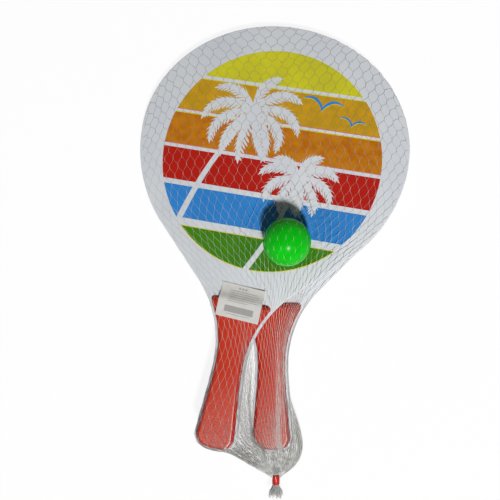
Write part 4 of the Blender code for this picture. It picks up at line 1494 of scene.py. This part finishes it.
def chooseFolds(rng):
    # the half column, rows, sway and painted light and shade of each strand
    full = 2 * netShape["frontColumns"]
    columns, shares = netShape["gather"]["low"]
    chosen = []
    for share in rng.uniform(0, 1, foldShape["front"]):
        kept, rows, toneAndPaintedLight = next(zone[1:] for zone in foldShape["zones"] if share <= zone[0])
        if rng.uniform() < kept:
            column = full * (2 * np.interp(share, shares, columns) - 1)
            chosen.append((column, rng.uniform(*rows), foldShape["sway"], rng.uniform(*toneAndPaintedLight)))
    count, rows, toneAndPaintedLight = foldShape["behind"]
    for column in rng.uniform(full, len(netShell) - full, count):
        chosen.append((column, rng.uniform(*rows), foldShape["sway"], rng.uniform(*toneAndPaintedLight)))
    shorter, sway, toneAndPaintedLight = foldShape["crease"]
    for column, spread, count, rows in foldShape["creases"]:
        for _ in range(count):
            place = column + rng.normal(0, spread)
            chosen.append((place, rows * rng.uniform(*shorter), sway, rng.uniform(*toneAndPaintedLight)))
    return chosen


def makeFolds():
    rng = np.random.default_rng(foldShape["seed"])
    end, thinnest = foldShape["taper"]
    strands = []
    for column, reach, sway, toneAndPaintedLight in chooseFolds(rng):
        row = np.arange(0, reach, 1 / foldShape["perRow"])
        wave = np.sin(row * rng.uniform(*foldShape["waves"]) + rng.uniform(*threadShape["anyPhase"]))
        aside = sway * wave * np.clip(row / foldShape["steady"], 0, 1)
        clear = netShape["clear"] * rng.uniform(*foldShape["above"])
        path = keepOut(readShell(netShell, column + aside, row), clear)
        radius = rng.uniform(*foldShape["radius"]) * np.clip((reach - row) / end, thinnest, 1)
        strands.append((path, radius, np.full(len(row), toneAndPaintedLight)))
    folds = tubes("netFolds", strands)
    handIn(folds, "net_bag")
    print("stage: folds,", len(folds.data.polygons), "faces")


makeFolds()


# Gathered neck, the knot at the far end and the band

neckShape = {
    "strands": 150,
    "strand": 0.20 * mm,
    "uneven": (0.8, 1.2),
    "section": (0.02, 1),         # share of the neck's section that lies inside a strand
    # level, radius, width against height
    "profile": ((-176, 10.0, 1.6), (-182, 6.4, 1.5), (-187, 3.9, 1.3), (-191, 2.5, 1.0), (-199.6, 2.5, 1.0),
                (-202, 3.2, 1.1), (-206, 5.0, 1.2), (-213, 6.6, 1.2)),
    "from": (-189, -184),         # mm
    "to": (-212.6, -207),
    "step": 0.9 * mm,
    "twist": 0.010,               # radians to each mm
    "crimp": 0.30 * mm,           # the knitting leaves the loose ends wavy
    "loose": 3 * mm,              # the crimp has its full height this far from the middle,
    "loosest": 1.5,               # and grows to so many times as much further out
    "crimpLength": (4.5, 7.5),    # mm
    "crimpUp": 1.1,               # a strand waves this much faster in height than across
    # painted light on the neck's strands, lifting them out of their shade inside the funnel
    "toneAndPaintedLight": 0.75,
    "seed": 5,
}


def makeNeck():
    rng = np.random.default_rng(neckShape["seed"])
    levels, radius, width = (np.array(column) for column in zip(*neckShape["profile"]))
    tieX, tieY, tieZ = netShape["tie"]
    strands = []
    for _ in range(neckShape["strands"]):
        # spread evenly over the neck's section
        turn, share = rng.uniform(0, 2 * math.pi), math.sqrt(rng.uniform(*neckShape["section"]))
        first, last = rng.uniform(*neckShape["from"]) * mm, rng.uniform(*neckShape["to"]) * mm
        y = np.arange(first, last, -neckShape["step"])
        reach = np.interp(-y / mm, -levels, radius) * mm * share
        wide = np.interp(-y / mm, -levels, width)
        crimp = np.clip(reach / neckShape["loose"], 0, neckShape["loosest"]) * neckShape["crimp"]
        length, phase = rng.uniform(*neckShape["crimpLength"]), rng.uniform(*threadShape["anyPhase"])
        wave = y / mm * 2 * math.pi / length + phase
        twist = turn + neckShape["twist"] * (y - tieY) / mm
        x = tieX + np.cos(twist) * reach * wide + np.sin(wave) * crimp
        z = tieZ + np.sin(twist) * reach + np.cos(wave * neckShape["crimpUp"]) * crimp
        thickness = np.full(len(y), neckShape["strand"]) * rng.uniform(*neckShape["uneven"])
        strands.append((np.stack([x, y, z], 1), thickness, np.full(len(y), neckShape["toneAndPaintedLight"])))
    handIn(tubes("netNeck", strands), "net_gathered_neck")


endKnotShape = {
    "radius": 6.3 * mm,
    "height": 0.55 * mm,
    "strand": 0.5 * mm,
    "apart": (-0.9, 0, 0.9),      # of the strands, as a share of their radius
    "centre": (-0.2 * mm, 94.1 * mm, 1.5 * mm),
    "toneAndPaintedLight": 0.4,
}


def makeEndKnot():
    # three strands tied in one flat overhand knot
    t = np.linspace(0, 2 * math.pi, 161)
    thick = endKnotShape["strand"]
    strands = []
    for apart in endKnotShape["apart"]:
        reach = endKnotShape["radius"] / 3 + apart * thick
        path = np.stack([reach * (np.sin(t) + 2 * np.sin(2 * t)), reach * (np.cos(t) - 2 * np.cos(2 * t)),
                         endKnotShape["height"] * -np.sin(3 * t)], 1) + endKnotShape["centre"]
        strands.append((path, np.full(len(t), thick), np.full(len(t), endKnotShape["toneAndPaintedLight"])))
    handIn(tubes("netEndKnot", strands, 6), "net_end_knot")


def loft(name, rings, material):
    # a closed body through rings of points, with both ends filled
    count, around = len(rings), len(rings[0])
    faces = []
    for i in range(count - 1):
        for k in range(around):
            a, b = i * around + k, i * around + (k + 1) % around
            faces.append((a, b, b + around, a + around))
    faces += [tuple(range(around))[::-1], tuple((count - 1) * around + k for k in range(around))]
    piece = meshPiece(name, [p for ring in rings for p in ring], faces, material)
    faceOutwards(piece)
    return piece


def makeBandVinyl():
    # red soft vinyl tape: strong colour, wet-looking gloss, fine stretch lines round it
    material, tree, shader = newMaterial("red vinyl tape")
    pulled = addNode(tree, "ShaderNodeVectorMath", {0: objectPlace(tree), 1: (0.15, 1.0, 0.15)},
                     operation="MULTIPLY").outputs[0]
    lines = noise(tree, 0.7 * mm, 3, place=pulled)
    feed(tree, shader, {
        "Base Color": ramp(tree, lines, (0.35, "#A3140C"), (0.65, "#BE1E14")),
        "Roughness": 0.3,
        "Specular IOR Level": 0.25,
        "Normal": relief(tree, lines, 0.4, 0.15 * mm),
    })
    return material


bandShape = {
    "inner": 2.85 * mm,
    "thickness": 0.30 * mm,
    "turns": 1.22,
    "start": 0.7,                 # radians
    "climb": 0.34 * mm,           # to each turn, so that the overlap lies on the first one
    "width": 8.0 * mm,
    "level": -195.6 * mm,
    "skew": (0.25 * mm, 1.3),     # how its edge wanders, and how often in a turn
    # puckers: height, how often in a turn, distance across it to each radian
    "puckers": ((0.10 * mm, 3, 1.6 * mm), (0.06 * mm, 7, -0.9 * mm)),
    "innerPuckers": 0.4,          # share of them that shows inside
    "grid": (90, 9),
}


def makeBand():
    tieX, _, tieZ = netShape["tie"]
    around, across = bandShape["grid"]
    across = np.linspace(-0.5, 0.5, across) * bandShape["width"]
    skew, often = bandShape["skew"]
    rings = []
    for t in np.linspace(0, 1, around):
        turns = t * bandShape["turns"]
        angle = bandShape["start"] + turns * 2 * math.pi
        level = bandShape["level"] + skew * math.sin(angle * often)
        inner = bandShape["inner"] + bandShape["climb"] * turns
        ring = []
        for side, reach, share in ((0, across, bandShape["innerPuckers"]),
                                   (bandShape["thickness"], across[::-1], 1)):
            for y in reach:
                pucker = sum(high * math.sin(each * angle + y / wide)
                             for high, each, wide in bandShape["puckers"])
                r = inner + side + share * pucker
                ring.append((tieX + r * math.cos(angle), level + y, tieZ + r * math.sin(angle)))
        rings.append(ring)
    band = loft("neckBand", rings, makeBandVinyl())
    shadeSmooth(band, 50)
    handIn(band, "neck_tape")


makeNeck()
makeEndKnot()
makeBand()
print("stage: neck, end knot and band made")


# Paper label: lies on the netting over the front handle and folds down over the grip's end

labelShape = {
    # on the paddle, mm, from the lower left corner round to the upper left one
    "corners": ((-20.0, -155.0), (18.9, -156.3), (19.5, -126.8), (-19.4, -125.2)),
    "grid": (28, 24),
    "thickness": 0.12 * mm,
    "above": 0.16 * mm,           # over the threads' middle
    "felt": 7,                    # places across it where the netting's height is felt
    "reach": (4.0 * mm, 2.4 * mm),   # of the netting that carries each part
    "stiffness": 5,               # rounds of filling the hollows
    "soften": 2,                  # rounds of smoothing after that
    "curl": 0.20 * mm,
    # of the lower right and the upper left corner: where it starts across and up, and how gently
    "curls": ((0.75, 0.30, 0.075), (0.25, 0.72, 0.09)),
    "ink": 0.02 * mm,
    "inkSkirt": 0.05 * mm,        # how far the ink reaches into the paper
    "barGrid": (6, 4),
}
# plain bars in the place of print: left, bottom, right, top, as shares of the label
labelBars = [(0.40 + 0.075 * k, 0.875, 0.44 + 0.075 * k, 0.925) for k in range(3)]
labelBars += [(0.21, 0.80 - 0.062 * k, right, 0.815 - 0.062 * k)
              for k, right in enumerate((0.86, 0.90, 0.88, 0.84, 0.89, 0.70))]
labelBars += [(0.17, 0.17, 0.84, 0.36), (0.24, 0.11, 0.78, 0.125)]


def makePaper():
    # thin uncoated paper: warm off-white, faint fibre clouds, no gloss
    material, tree, shader = newMaterial("uncoated label paper")
    feed(tree, shader, {
        "Base Color": ramp(tree, noise(tree, 6 * mm, 5), (0.35, "#C8C5C0"), (0.65, "#D1CECA")),
        "Roughness": 0.85,
        "Normal": relief(tree, noise(tree, 0.35 * mm, 2), 0.15, 0.05 * mm),
    })
    return material


def makeLabelInk():
    # matt grey print
    material, tree, shader = newMaterial("grey label ink")
    feed(tree, shader, {"Base Color": "#9A9895", "Roughness": 0.8})
    return material


def onLabel(u, v):
    # the place on the paddle at these shares of the label's width and height
    a, b, c, d = np.array(labelShape["corners"])
    return ((a * (1 - u) + b * u) * (1 - v) + (d * (1 - u) + c * u) * v) * mm


def labelHeights(us, vs):
    # height of the netting under each part, in the paddle's own frame; paper bends over it in one soft curve
    back = np.array(frontPlace.inverted())
    near = netShell.reshape(-1, 3) @ back[:3, :3].T + back[:3, 3]
    near = near[near[:, 2] > 0]
    tops = np.zeros((len(us), len(vs)))
    for i, u in enumerate(us):
        for j, v in enumerate(vs):
            under = (np.abs(near[:, :2] - onLabel(u, v)) < labelShape["reach"]).all(1)
            tops[i, j] = near[under, 2].max() + labelShape["above"]
    for _ in range(labelShape["stiffness"]):
        wide = np.pad(tops, ((0, 0), (1, 1)), mode="reflect", reflect_type="odd")
        tops = np.maximum(tops, (wide[:, :-2] + wide[:, 2:]) / 2)
    for _ in range(labelShape["soften"]):
        wide = np.pad(tops, 1, mode="edge")
        tops = (wide[1:-1, :-2] + wide[1:-1, 1:-1] + wide[1:-1, 2:] + wide[:-2, 1:-1] + wide[2:, 1:-1]) / 5
    return tops


def makeLabel():
    across, along = labelShape["grid"]
    us, vs = np.linspace(0, 1, labelShape["felt"]), np.linspace(0, 1, along)
    tops = labelHeights(us, vs)
    (right, low, easy), (left, high, easier) = labelShape["curls"]

    def height(u, v):
        corner = (max(0, u - right) * max(0, low - v) / easy
                  + max(0, left - u) * max(0, v - high) / easier)
        row = [np.interp(v, vs, line) for line in tops]
        return np.interp(u, us, row) + labelShape["curl"] * corner ** 1.5

    def sheet(left, bottom, right, top, grid, low, high, name, material):
        # a part of the label between two heights
        a, b = grid
        spots = [(u, v) for v in np.linspace(bottom, top, b) for u in np.linspace(left, right, a)]
        points = [frontPlace @ Vector((*onLabel(u, v), height(u, v) + level))
                  for level in (low, high) for u, v in spots]
        lower = [(k, k + a, k + a + 1, k + 1) for k in range(a * (b - 1)) if (k + 1) % a]
        upper = [tuple(a * b + k for k in face[::-1]) for face in lower]
        # along the bottom, up the right side, back along the top and down the left side
        rim = [*range(a), *range(2 * a - 1, a * b, a), *range(a * b - 2, a * (b - 1) - 1, -1),
               *range(a * (b - 2), 0, -a)]
        walls = [(k, after, after + a * b, k + a * b) for k, after in zip(rim, rim[1:] + rim[:1])]
        return meshPiece(name, points, lower + upper + walls, material)

    top = labelShape["thickness"]
    pieces = [sheet(0, 0, 1, 1, (across, along), 0, top, "paperLabel", makePaper())]
    film, ink = (top - labelShape["inkSkirt"], top + labelShape["ink"]), makeLabelInk()
    pieces += [sheet(*bar, labelShape["barGrid"], *film, "ink", ink) for bar in labelBars]
    label = joinPieces(pieces, "paperLabel")
    shadeSmooth(label, 40)
    handIn(label, "price_label")


makeLabel()
print("stage: label made")


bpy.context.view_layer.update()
scene = bpy.context.scene
scene.view_settings.view_transform = "Standard"
